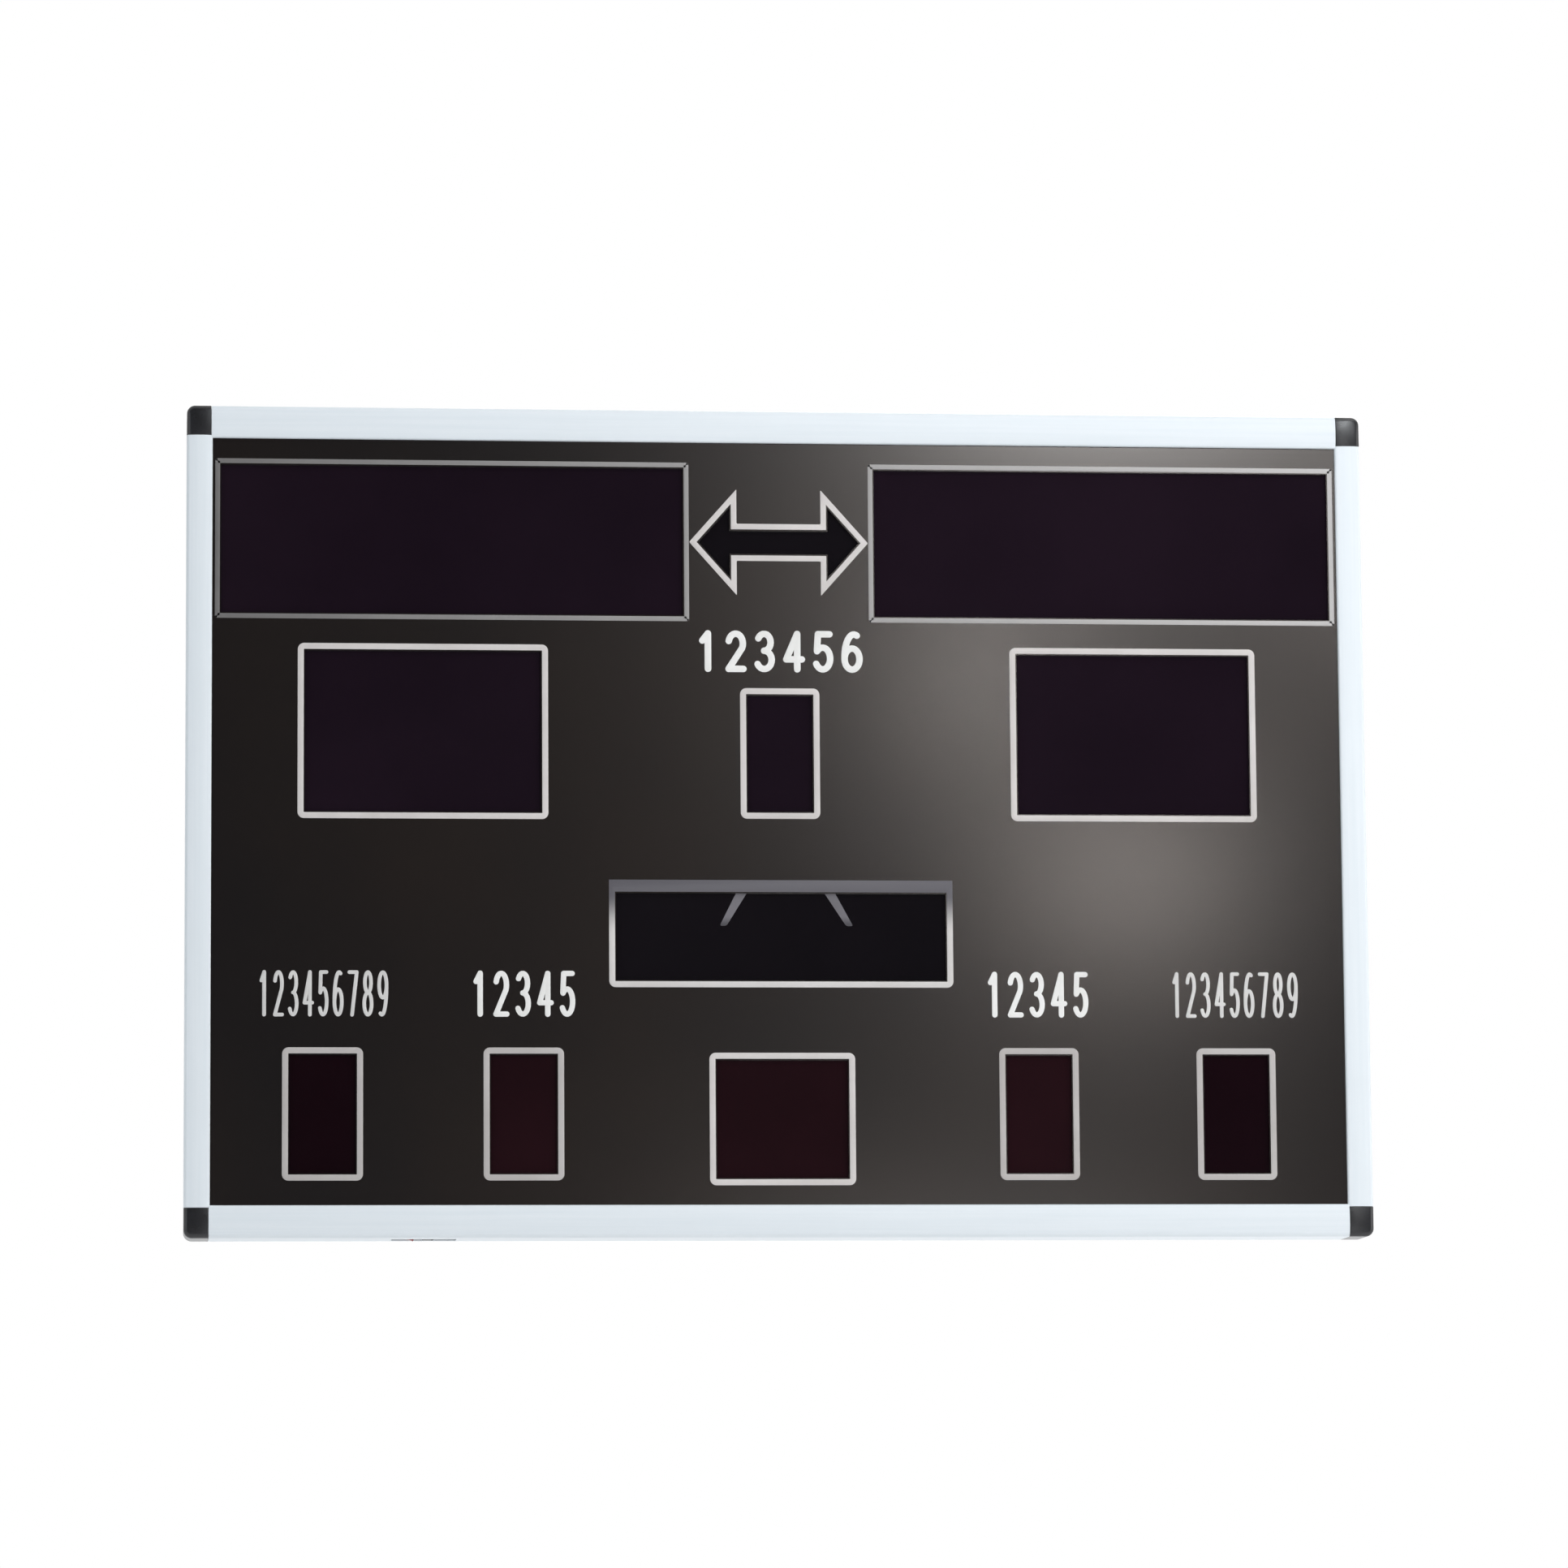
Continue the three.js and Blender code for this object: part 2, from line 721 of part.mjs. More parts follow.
// Circuit board, posts up to the face panel, and the plug header behind
function carrier(edges) {
  const [left, right, bottom, top] = grown(edges, paneBorder);
  const postX = [left + postInset, right - postInset];
  const postZ = [bottom - postOffset, top + postOffset];
  const reach = postRadius + boardEdge;
  const boardBack = displayBack + boardThickness;
  const board = block(left, right, displayBack - bond, boardBack, postZ[0] - reach, postZ[1] + reach);
  const middle = (left + right) / 2;
  const header = block(
    middle - headerWidth / 2,
    middle + headerWidth / 2,
    boardBack - bond,
    boardBack + headerDepth,
    (bottom + top - headerHeight) / 2,
    (bottom + top + headerHeight) / 2,
  );
  const places = postX.flatMap((x) => postZ.map((z) => [x, z]));
  const posts = places.map(([x, z]) => spacer(postRadius, panelBack + fitGap, displayBack, x, z));
  return [board, header, ...posts];
}

function digitDisplay({ cut: edges, digits, bar: heavyTop }) {
  const [left, right, bottom, top] = edges;
  const face = rectangle(grown(edges, displayOverlap));
  const middleZ = (bottom + top) / 2;
  const pitch = (right - left) / digits;
  const height = (top - bottom) * digitHeightShare;
  const width = Math.min(height * digitWidthShare, pitch * narrowDigitShare);
  const wells = [];
  for (let i = 0; i < digits; i++) {
    wells.push(...digitWells(left + pitch * i + pitch / 2, height, width));
  }
  if (heavyTop) {
    const dotRadius = (height * segmentShare) / 2;
    [-1, 1].forEach((side) => {
      const dot = new THREE.Path();
      dot.absarc((left + right) / 2, side * height * colonShare, dotRadius, 0, 2 * Math.PI, false);
      wells.push(dot);
    });
  }
  face.holes.push(...wells.map((well) => centred(well, middleZ)));
  const housing = plate(face, displayFront, displayFront + wellDepth);
  const floorShape = rectangle(grown(edges, displayOverlap));
  const floor = plate(floorShape, displayFront + wellDepth - bond, displayBack);
  return join(housing, floor, ...carrier(edges));
}

// A path moved up by a height
function centred(path, height) {
  const points = path.getPoints(smallRoundStepCount).map((point) => [point.x, point.y + height]);
  points.pop();
  return polygon(points, THREE.Path);
}

// Three square tiles side by side, each with a shading louvre over every row of lamps
function tileDisplay({ cut: edges }) {
  const [left, right, bottom, top] = grown(edges, displayOverlap);
  const pitch = (top - bottom) / louvreRowCount;
  const tooth = pitch * louvreShare;
  const comb = new THREE.Shape();
  comb.moveTo(displayDepth, bottom);
  comb.lineTo(displayDepth, top);
  for (let row = louvreRowCount; row > 0; row--) {
    const z = bottom + row * pitch;
    comb.lineTo(0, z);
    comb.lineTo(0, z - tooth);
    comb.lineTo(louvreReach, z - tooth);
    comb.lineTo(louvreReach, z - pitch);
  }
  comb.closePath();
  const tileWidth = (right - left - (tileCount - 1) * tileGap) / tileCount;
  const tiles = [...Array(tileCount).keys()].map((i) => {
    const tile = extrude(comb, tileWidth);
    tile.applyMatrix4(new THREE.Matrix4().makeBasis(acrossY, upZ, acrossX));
    return tile.translate(left + i * (tileWidth + tileGap), displayFront, 0);
  });
  return join(...carrier(edges), ...tiles);
}

// Light box of the arrow: two head wells and a shaft well, behind the arrow pane
function arrowDisplay() {
  const edges = [-arrowPaneHalfWidth, arrowPaneHalfWidth, -arrowPaneHalfHeight, arrowPaneHalfHeight];
  const cutEdges = grown(edges, -paneBorder);
  const face = rectangle(edges);
  const heads = [-1, 1].map((side) => {
    const baseX = side * (arrowHeadBaseX + outlineStroke);
    const tipX = side * (arrowHalfLength - 2 * outlineStroke);
    const halfHeight = arrowHeadHalfHeight - 2 * outlineStroke;
    const points = [[baseX, -halfHeight], [tipX, 0], [baseX, halfHeight]];
    return polygon(points, THREE.Path);
  });
  const shaftX = arrowHeadBaseX + outlineStroke - arrowWellWall;
  const shaftZ = arrowShaftHalfHeight - outlineStroke;
  face.holes.push(...heads, rectangle([-shaftX, shaftX, -shaftZ, shaftZ], THREE.Path));
  const floor = rectangle(edges);
  return join(
    plate(face, displayFront, displayFront + wellDepth),
    plate(floor, displayFront + wellDepth - bond, displayBack),
    ...carrier(cutEdges),
  );
}

// Back panel with vents, the horn's outlet and screws round the edge

function spread(count, reach) {
  return [...Array(count).keys()].map((i) => -reach + (2 * reach * i) / (count - 1));
}

// A vent slot with pointed ends, as a punch leaves it
function slot(x, z, length, height) {
  const end = length / 2;
  const shoulder = end - height / 2;
  const half = height / 2;
  const lower = [[-end, 0], [-shoulder, -half], [shoulder, -half]];
  const upper = [[end, 0], [shoulder, half], [-shoulder, half]];
  return polygon(moved([...lower, ...upper], x, z), THREE.Path);
}

const ventX = boardWidth / 2 - ventSideGap;
const ventZ = boardHeight / 2 - ventEndGap;
const hornReach = hornMouthRadius + hornFlange;
const sideWidthLeft = innerHalfWidth - clockWidth / 2 - 2 * hornReach - controllerWidth;
const hornX = clockWidth / 2 + sideWidthLeft * hornGapShare + hornReach;
const hornZ = clockZ + hornRise;

function backPanel() {
  const halfWidth = boardWidth / 2 - barWall - backEdgeGap;
  const halfHeight = boardHeight / 2 - barWall - backEdgeGap;
  const shape = roundedRectangle([-halfWidth, halfWidth, -halfHeight, halfHeight], cornerRadius - barWall);
  [-ventX, ventX].forEach((x) => {
    [-ventZ, ventZ].forEach((z) => {
      const rows = spread(ventRowCount, ((ventRowCount - 1) * ventPitch) / 2);
      rows.forEach((row) => shape.holes.push(slot(x, z + row, ventSlotLength, ventSlotHeight)));
    });
  });
  spread(hornSlotCount, hornMouthRadius - ventPitch).forEach((row) => {
    const chord = 2 * Math.sqrt(hornMouthRadius ** 2 - row ** 2) - ventPitch;
    shape.holes.push(slot(hornX, hornZ + row, chord, ventSlotHeight));
  });
  const sheet = plate(shape, backFront, backRear);
  const screwX = halfWidth - screwInset;
  const screwZ = halfHeight - screwInset;
  const acrossPlaces = spread(screwAcrossCount, screwX).flatMap((x) => [[x, -screwZ], [x, screwZ]]);
  const upPlaces = spread(screwUpCount, screwZ).slice(1, -1).flatMap((z) => [[-screwX, z], [screwX, z]]);
  const heads = [...acrossPlaces, ...upPlaces].map(([x, z]) => {
    const rear = backRear + screwHeadHeight;
    return rodY(screwHeadRadius, backRear - bond, rear, x, z, screwHeadRadius / 2, hexSideCount);
  });
  return join(sheet, ...heads);
}

// Hanging rail: a flange bolted to the back panel, a step, and a lip that hooks down behind the wall rail

function hangingRail() {
  const flangeFront = backRear + fitGap;
  const flangeBack = flangeFront + hangRailThickness;
  const lipTop = hangLipZ + hangLipHeight / 2;
  const section = polygon([
    [flangeFront, lipTop - hangRailThickness],
    [wallPlane - hangRailThickness, lipTop - hangRailThickness],
    [wallPlane - hangRailThickness, lipTop - hangLipHeight],
    [wallPlane, lipTop - hangLipHeight],
    [wallPlane, lipTop],
    [flangeBack, lipTop],
    [flangeBack, lipTop + hangFlangeHeight],
    [flangeFront, lipTop + hangFlangeHeight],
  ]);
  const profile = extrude(section, hangRailLength);
  profile.applyMatrix4(new THREE.Matrix4().makeBasis(acrossY, upZ, acrossX));
  profile.translate(-hangRailLength / 2, 0, 0);
  const boltZ = lipTop + hangFlangeHeight / 2;
  const bolts = spread(hangBoltCount, hangRailLength / 2 - hangBoltInset).map((x) => {
    return spacer(hangBoltRadius, flangeBack - bond, flangeBack + hangBoltHeight, x, boltZ);
  });
  return join(profile, ...bolts);
}

function bumper() {
  return rodY(bumperRadius, backRear + fitGap, wallPlane, 0, 0, bumperRadius - bumperTaper, roundStepCount);
}

// Power supply: a closed box with pressed vents and an open terminal strip at its lower end

function powerSupply() {
  const back = backFront - fitGap;
  const front = back - supplyDepth;
  const top = supplyHeight / 2;
  const section = polygon([
    [front, top],
    [back, top],
    [back, -top],
    [front + terminalDrop, -top],
    [front + terminalDrop, -top + terminalLength],
    [front, -top + terminalLength],
  ]);
  const body = extrude(section, supplyWidth).applyMatrix4(
    new THREE.Matrix4().makeBasis(acrossY, upZ, acrossX).setPosition(-supplyWidth / 2, 0, 0),
  );
  const ribs = spread(terminalRibCount, supplyWidth / 2 - terminalRibThickness).map((x) => {
    const half = terminalRibThickness / 2;
    const [ribFront, ribBack] = [front + terminalDrop / 2, front + terminalDrop + bond];
    return block(x - half, x + half, ribFront, ribBack, -top, -top + terminalLength + bond);
  });
  const vents = spread(supplyVentCount, ((supplyVentCount - 1) * supplyVentPitch) / 2).map((x) => {
    const half = supplyVentWidth / 2;
    const middle = terminalLength / 2;
    const reach = supplyVentLength / 2;
    const depth = [front - overrun, front + supplyVentDepth];
    return block(x - half, x + half, ...depth, middle - reach, middle + reach);
  });
  return cut(join(body, ...ribs), ...vents);
}

// Controller: a circuit board on spacers, with chips, capacitors and the radio receiver

function controllerBoard() {
  const spacerBack = backFront - fitGap;
  const boardBack = spacerBack - spacerHeight;
  const boardFront = boardBack - boardThickness;
  const halfWidth = controllerWidth / 2;
  const halfHeight = controllerHeight / 2;
  const part = (x, z, width, height, depth) => {
    const [halfPart, halfTall] = [width / 2, height / 2];
    const reach = [boardFront - depth, boardFront + bond];
    return block(x - halfPart, x + halfPart, ...reach, z - halfTall, z + halfTall);
  };
  const spacers = [-1, 1].flatMap((sideX) =>
    [-1, 1].map((sideZ) => {
      const x = sideX * (halfWidth - spacerInset);
      const z = sideZ * (halfHeight - spacerInset);
      return spacer(spacerRadius, boardBack - bond, spacerBack, x, z);
    }),
  );
  const capacitors = spread(capacitorCount, capacitorPitch).map((x) => {
    const z = halfHeight - 2 * capacitorRadius;
    const front = boardFront - capacitorDepth;
    return rodY(capacitorRadius, front, boardFront + bond, x - halfWidth / 2, z);
  });
  return join(
    block(-halfWidth, halfWidth, boardFront, boardBack, -halfHeight, halfHeight),
    part(0, 0, chipSide, chipSide, chipDepth),
    part(-chipPitch, 0, chipSide, chipSide / 2, chipDepth),
    part(
      halfWidth - receiverWidth,
      halfHeight - receiverHeight,
      receiverWidth,
      receiverHeight,
      receiverDepth,
    ),
    part(-halfWidth / 2, headerHeight - halfHeight, connectorWidth, headerHeight, headerDepth),
    part(halfWidth / 2, headerHeight - halfHeight, connectorWidth, headerHeight, headerDepth),
    ...spacers,
    ...capacitors,
  );
}

// Horn: a driver can with a flared mouth that opens at the back panel's slots

function horn() {
  const mouth = backFront - fitGap;
  const throat = mouth - hornFlareLength;
  const can = mouth - hornLength;
  const flare = new THREE.QuadraticBezierCurve(
    new THREE.Vector2(hornThroatRadius, throat),
    new THREE.Vector2(hornThroatRadius + hornWall, mouth - hornFlange),
    new THREE.Vector2(hornMouthRadius, mouth),
  );
  const inside = flare.getPoints(arcStepCount);
  const outside = inside.map((point) => new THREE.Vector2(point.x + hornWall, point.y - hornWall)).reverse();
  const rim = new THREE.Vector2(hornReach, mouth);
  const rimFront = new THREE.Vector2(hornReach, mouth - hornWall);
  const profile = [
    new THREE.Vector2(0, throat),
    ...inside,
    rim,
    rimFront,
    ...outside,
    new THREE.Vector2(hornCanRadius, throat - hornWall),
    new THREE.Vector2(hornCanRadius, can),
    new THREE.Vector2(0, can),
  ];
  return new THREE.LatheGeometry(profile.reverse(), roundStepCount);
}

// Mains inlet, drawn from behind its flange, +Z into the board. The flange lies inside the bottom bar,
// on the wall round the opening.

function inletHousing() {
  const halfFlange = inletBodyLength / 2 + inletFlangeReach;
  const halfFlangeWidth = inletBodyWidth / 2 + inletFlangeEdge;
  const flangeEdges = [-halfFlange, halfFlange, -halfFlangeWidth, halfFlangeWidth];
  const flange = roundedRectangle(flangeEdges, inletFlangeRadius);
  const face = -inletFlangeThickness - fitGap;
  const plateBelow = extrude(flange, inletFlangeThickness).translate(0, 0, face);
  const halfLength = inletBodyLength / 2;
  const halfWidth = inletBodyWidth / 2;
  const body = block(-halfLength, halfLength, -halfWidth, halfWidth, -fitGap - bond, inletBodyHeight);
  const socketFloor = face + socketDepth;
  const socket = polygon([
    [socketX - socketLength / 2, -socketWidth / 2],
    [socketX + socketLength / 2 - socketChamfer, -socketWidth / 2],
    [socketX + socketLength / 2, -socketWidth / 2 + socketChamfer],
    [socketX + socketLength / 2, socketWidth / 2 - socketChamfer],
    [socketX + socketLength / 2 - socketChamfer, socketWidth / 2],
    [socketX - socketLength / 2, socketWidth / 2],
  ]);
  const socketCut = extrude(socket, socketDepth + overrun).translate(0, 0, face - overrun);
  const drawerCut = block(
    drawerX - drawerLength / 2 - fitGap,
    drawerX + drawerLength / 2 + fitGap,
    -drawerWidth / 2 - fitGap,
    drawerWidth / 2 + fitGap,
    face - overrun,
    face + drawerDepth + fitGap,
  );
  const swing = Math.hypot(rockerLength / 2, rockerPivotDepth + rockerEndHeight) + fitGap;
  const rockerCut = block(
    -rockerX - swing,
    -rockerX + swing,
    -rockerWidth / 2 - fitGap,
    rockerWidth / 2 + fitGap,
    face - overrun,
    face + rockerPivotDepth + swing,
  );
  const axleHole = rodY(
    axleRadius + fitGap,
    -rockerWidth / 2 - axleLength - 2 * fitGap,
    rockerWidth / 2 + axleLength + 2 * fitGap,
    -rockerX,
    face + rockerPivotDepth,
  );
  const pins = [
    [socketX - earthPinOffset, -pinSpread],
    [socketX - earthPinOffset, pinSpread],
    [socketX + earthPinOffset, 0],
  ].map(([x, y]) => {
    const halfBreadth = pinBreadth / 2;
    const halfThickness = pinThickness / 2;
    const depth = [socketFloor - pinLength, socketFloor + bond];
    return block(x - halfBreadth, x + halfBreadth, y - halfThickness, y + halfThickness, ...depth);
  });
  const tabs = spread(tabCount, tabPitch).map((x) => {
    const half = tabBreadth / 2;
    const top = inletBodyHeight + tabHeight;
    return block(x - half, x + half, -tabThickness / 2, tabThickness / 2, inletBodyHeight - bond, top);
  });
  const shell = cut(join(plateBelow, body), socketCut, drawerCut, rockerCut, axleHole);
  return join(shell, ...pins, ...tabs);
}

// Fuse drawer, drawn from the face of the inlet: +Z into the housing, its lip stands below
function fuseDrawer() {
  const halfLength = drawerLength / 2;
  const halfWidth = drawerWidth / 2;
  const body = block(-halfLength, halfLength, -halfWidth, halfWidth, -drawerLip, drawerDepth - fitGap);
  const lipLength = halfLength + drawerLipEdge;
  const lip = block(-lipLength, lipLength, -halfWidth, halfWidth, -drawerLip, -fitGap);
  const grip = rodY(drawerLip, -halfWidth / 2, halfWidth / 2, lipLength, -drawerLip);
  const fuseRadius = halfLength - inletWall;
  const trough = rodY(
    fuseRadius,
    -halfWidth + inletWall,
    halfWidth - inletWall,
    -halfLength + drawerGripDepth,
    drawerDepth / 2,
  );
  return cut(join(body, lip), grip, trough);
}

// Rocker, drawn round its pivot with the paddle facing -Z
function rocker() {
  const halfLength = rockerLength / 2;
  const outward = -rockerPivotDepth;
  const belly = new THREE.Shape();
  belly.moveTo(-halfLength, outward - rockerEndHeight + bond);
  belly.quadraticCurveTo(0, outward + bond, halfLength, outward - rockerEndHeight + bond);
  belly.lineTo(halfLength, 0);
  belly.quadraticCurveTo(0, 2 * rockerBelly, -halfLength, 0);
  belly.closePath();
  const paddle = extrude(belly, rockerWidth).rotateX(Math.PI / 2).translate(0, rockerWidth / 2, 0);
  const reach = rockerWidth / 2 + axleLength;
  const axle = rodY(axleRadius, -reach, reach, 0, 0);
  return join(paddle, axle);
}

// Leads inside the case: round tubes along smooth curves

function lead(points) {
  const path = new THREE.CatmullRomCurve3(points.map((point) => new THREE.Vector3(...point)));
  const circle = new THREE.Shape();
  for (let i = 0; i < leadSideCount; i++) {
    const angle = (2 * Math.PI * i) / leadSideCount;
    const [x, y] = [leadRadius * Math.cos(angle), leadRadius * Math.sin(angle)];
    if (i) circle.lineTo(x, y);
    else circle.moveTo(x, y);
  }
  const steps = Math.ceil(path.getLength() / (2 * leadRadius * leadStepShare));
  return new THREE.ExtrudeGeometry(circle, { steps, extrudePath: path });
}

// Assembly

const board = new THREE.Group();
board.position.set(0, -wallPlane, -hangLipZ);

const frame = new THREE.Group();
frame.add(
  turnBar(piece("rail_top", rail(), satinAluminium), downward, acrossX),
  turnBar(piece("rail_bottom", bottomRail(), satinAluminium), upZ, leftward),
  turnBar(piece("stile_left", stile(), satinAluminium), acrossX, upZ),
  turnBar(piece("stile_right", stile(), satinAluminium), leftward, downward),
);
[["left", -1], ["right", 1]].forEach(([side, signX]) => {
  [["top", 1], ["bottom", -1]].forEach(([level, signZ]) => {
    const corner = piece("corner_" + level + "_" + side, cornerPiece(), cornerPlastic);
    corner.position.set((signX * boardWidth) / 2, 0, (signZ * boardHeight) / 2);
    corner.scale.set(-signX, 1, signZ);
    frame.add(corner);
  });
});

const face = new THREE.Group();
face.add(piece("face_panel", facePanel(), panelBlack));
windows.forEach((window) => {
  const group = new THREE.Group();
  group.position.set(window.x, 0, window.z);
  const display = window.digits ? digitDisplay(window) : tileDisplay(window);
  group.add(
    piece("outline_" + window.name, outline(window), outlineWhite),
    piece("pane_" + window.name, pane(window.cut), smokedPane),
    piece("display_" + window.name, display, displayBlack),
  );
  face.add(group);
});
const arrow = new THREE.Group();
arrow.position.z = nameZ;
const arrowPaneShape = rectangle([
  -arrowPaneHalfWidth,
  arrowPaneHalfWidth,
  -arrowPaneHalfHeight,
  arrowPaneHalfHeight,
]);
arrow.add(
  piece("outline_arrow", arrowOutlinePlate(), outlineWhite),
  piece("pane_arrow", plate(arrowPaneShape, paneFront, paneFront + paneThickness), smokedPane),
  piece("display_arrow", arrowDisplay(), displayBlack),
);
face.add(arrow);

const rear = new THREE.Group();
rear.add(piece("back_panel", backPanel(), backBlack), piece("hanging_rail", hangingRail(), sheetSteel));
[["left", -1], ["right", 1]].forEach(([side, sign]) => {
  const pad = piece("bumper_" + side, bumper(), rubberBlack);
  pad.position.set(sign * (boardWidth / 2 - bumperSideGap), 0, bumperRise - boardHeight / 2);
  rear.add(pad);
});

const electronics = new THREE.Group();
const supplyX = supplySideGap - boardWidth / 2;
const supplyZ = clockZ + supplyRise;
const controllerX = hornX + hornReach + sideWidthLeft * controllerGapShare + controllerWidth / 2;
const supply = piece("power_supply", powerSupply(), sheetSteel);
supply.position.set(supplyX, 0, supplyZ);
const controller = piece("controller_board", controllerBoard(), circuitGreen);
controller.position.set(controllerX, 0, supplyZ);
const buzzer = piece("horn", horn(), displayBlack);
buzzer.position.set(hornX, 0, hornZ);
electronics.add(supply, controller, buzzer);

const inlet = new THREE.Group();
inlet.position.set(inletX, inletY, inletZ);
const inletFace = -inletFlangeThickness - fitGap;
const drawer = piece("fuse_drawer", fuseDrawer(), inletPlastic);
drawer.position.set(drawerX, 0, inletFace);
const powerSwitch = piece("rocker", rocker(), rockerRed);
powerSwitch.position.set(-rockerX, 0, inletFace + rockerPivotDepth);
powerSwitch.rotation.y = THREE.MathUtils.degToRad(rockerTiltDegrees);
inlet.add(piece("inlet_housing", inletHousing(), inletPlastic), drawer, powerSwitch);

const leadY = backFront - fitGap - 2 * leadRadius;
const inletTop = inletZ + inletBodyHeight + tabHeight + fitGap;
const supplyBottom = supplyZ - supplyHeight / 2;
const supplyRight = supplyX + supplyWidth / 2;
const controllerLeft = controllerX - controllerWidth / 2;
const leadZ = supplyZ + supplyHeight / 2 - leadStub;
const mainsRoute = [
  [inletX, inletY, inletTop],
  [inletX, inletY, inletTop + leadStub],
  [inletX, leadY, inletTop + leadStub + leadBend],
  [inletX, leadY, supplyBottom - leadBend],
  [inletX, leadY, supplyBottom - fitGap],
];
const supplyRoute = [
  [supplyRight + fitGap, leadY, leadZ],
  [supplyRight + leadBend, leadY, leadZ],
  [controllerLeft - leadBend, leadY, leadZ],
  [controllerLeft - fitGap, leadY, leadZ],
];
electronics.add(
  piece("mains_lead", lead(mainsRoute), leadSheath),
  piece("supply_lead", lead(supplyRoute), leadSheath),
);

board.add(frame, face, rear, electronics, inlet);
const root = new THREE.Group();
root.add(board);
export default root;
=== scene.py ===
import math

import bmesh
import bpy
from mathutils import Matrix, Vector


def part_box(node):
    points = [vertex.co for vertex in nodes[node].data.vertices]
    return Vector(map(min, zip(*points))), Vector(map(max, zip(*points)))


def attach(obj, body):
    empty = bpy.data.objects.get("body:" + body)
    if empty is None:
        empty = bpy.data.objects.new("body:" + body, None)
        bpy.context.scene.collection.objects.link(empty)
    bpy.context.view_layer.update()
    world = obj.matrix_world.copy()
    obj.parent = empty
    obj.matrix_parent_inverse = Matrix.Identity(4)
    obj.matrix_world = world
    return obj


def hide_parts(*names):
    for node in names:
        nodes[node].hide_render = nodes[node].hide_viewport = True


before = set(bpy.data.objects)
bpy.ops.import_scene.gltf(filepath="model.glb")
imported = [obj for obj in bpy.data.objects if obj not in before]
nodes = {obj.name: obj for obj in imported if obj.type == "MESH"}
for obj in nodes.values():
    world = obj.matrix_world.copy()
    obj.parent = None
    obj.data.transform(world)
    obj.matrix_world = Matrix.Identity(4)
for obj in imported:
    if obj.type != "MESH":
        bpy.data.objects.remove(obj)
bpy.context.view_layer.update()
print("scoreboard: CAD nodes loaded", len(nodes))


# Helpers for working by hand

# How near counts as the same place, how near doubles merge, and how squarely a face or edge must point
reach = {"same": 1e-6, "loose": 1e-5, "merge": 1e-6, "square": 0.9}


def near(a, b, within=reach["same"]):
    return abs(a - b) < within


def middleOf(low, high):
    return [(a + b) / 2 for a, b in zip(low, high)]


def pickNone():
    if bpy.context.object and bpy.context.object.mode != "OBJECT":
        bpy.ops.object.mode_set(mode="OBJECT")
    bpy.ops.object.select_all(action="DESELECT")


def pickOnly(obj):
    pickNone()
    obj.select_set(True)
    bpy.context.view_layer.objects.active = obj
    return obj


def newest(name):
    obj = bpy.context.object
    obj.name = name
    obj.data.name = name
    return pickOnly(obj)


def settle(obj):
    pickOnly(obj)
    bpy.ops.object.transform_apply(location=True, rotation=True, scale=True)
    return obj


def addBlock(name, low, high):
    size = [b - a for a, b in zip(low, high)]
    bpy.ops.mesh.primitive_cube_add(size=1, location=middleOf(low, high), scale=size)
    return settle(newest(name))


# A disc or peg that faces the wall
def addDisc(name, radius, depth, place, sides=32):
    bpy.ops.mesh.primitive_cylinder_add(
        vertices=sides, radius=radius, depth=depth, location=place, rotation=(math.pi / 2, 0, 0))
    return settle(newest(name))


# A flat sheet standing in the board's face, at one depth
def addSheet(name, left, right, bottom, top, y):
    bpy.ops.mesh.primitive_plane_add(
        size=1, location=((left + right) / 2, y, (bottom + top) / 2), rotation=(math.pi / 2, 0, 0))
    obj = newest(name)
    obj.scale = (right - left, top - bottom, 1)
    return settle(obj)


def edit(obj, kind="FACE"):
    pickOnly(obj)
    bpy.ops.object.mode_set(mode="EDIT")
    bpy.ops.mesh.select_mode(type=kind)
    bpy.ops.mesh.select_all(action="DESELECT")


def editAll(obj, kind="FACE"):
    edit(obj, kind)
    bpy.ops.mesh.select_all(action="SELECT")


def leave():
    bpy.ops.object.mode_set(mode="OBJECT")


# Picks the faces, edges or vertices of the edited mesh that a test holds for
def pickWhere(obj, kind, test):
    bpy.ops.mesh.select_mode(type=kind)
    bpy.ops.mesh.select_all(action="DESELECT")
    mesh = bmesh.from_edit_mesh(obj.data)
    mesh.normal_update()
    parts = {"FACE": mesh.faces, "EDGE": mesh.edges, "VERT": mesh.verts}[kind]
    for part in parts:
        if test(part):
            part.select_set(True)
    mesh.select_flush_mode()
    bmesh.update_edit_mesh(obj.data)


# Tests for pickWhere: an edge at one place along an axis, and an edge that runs from front to back
def edgeAt(axis, place, within=reach["same"]):
    return lambda e: all(near(v.co[axis], place, within) for v in e.verts)


def runsBack(e):
    return abs((e.verts[0].co - e.verts[1].co).normalized().y) > reach["square"]


def bevelPicked(offset, segments, affect):
    bpy.ops.mesh.bevel(offset=offset, segments=segments, affect=affect)


def cutAt(point, normal, **more):
    bpy.ops.mesh.bisect(plane_co=point, plane_no=normal, **more)


def extrudeBy(x, y, z):
    bpy.ops.mesh.extrude_region_move(TRANSFORM_OT_translate={"value": (x, y, z)})


def modify(obj, kind, **values):
    pickOnly(obj)
    modifier = obj.modifiers.new(kind.lower(), kind)
    for key, value in values.items():
        setattr(modifier, key, value)
    bpy.ops.object.modifier_apply(modifier=modifier.name)


def combine(obj, other, operation):
    modify(obj, "BOOLEAN", operation=operation, object=other, solver="EXACT")


def roundEdges(obj, width, segments=2, angle=50):
    modify(obj, "BEVEL", width=width, segments=segments, limit_method="ANGLE",
           angle_limit=math.radians(angle), harden_normals=False)


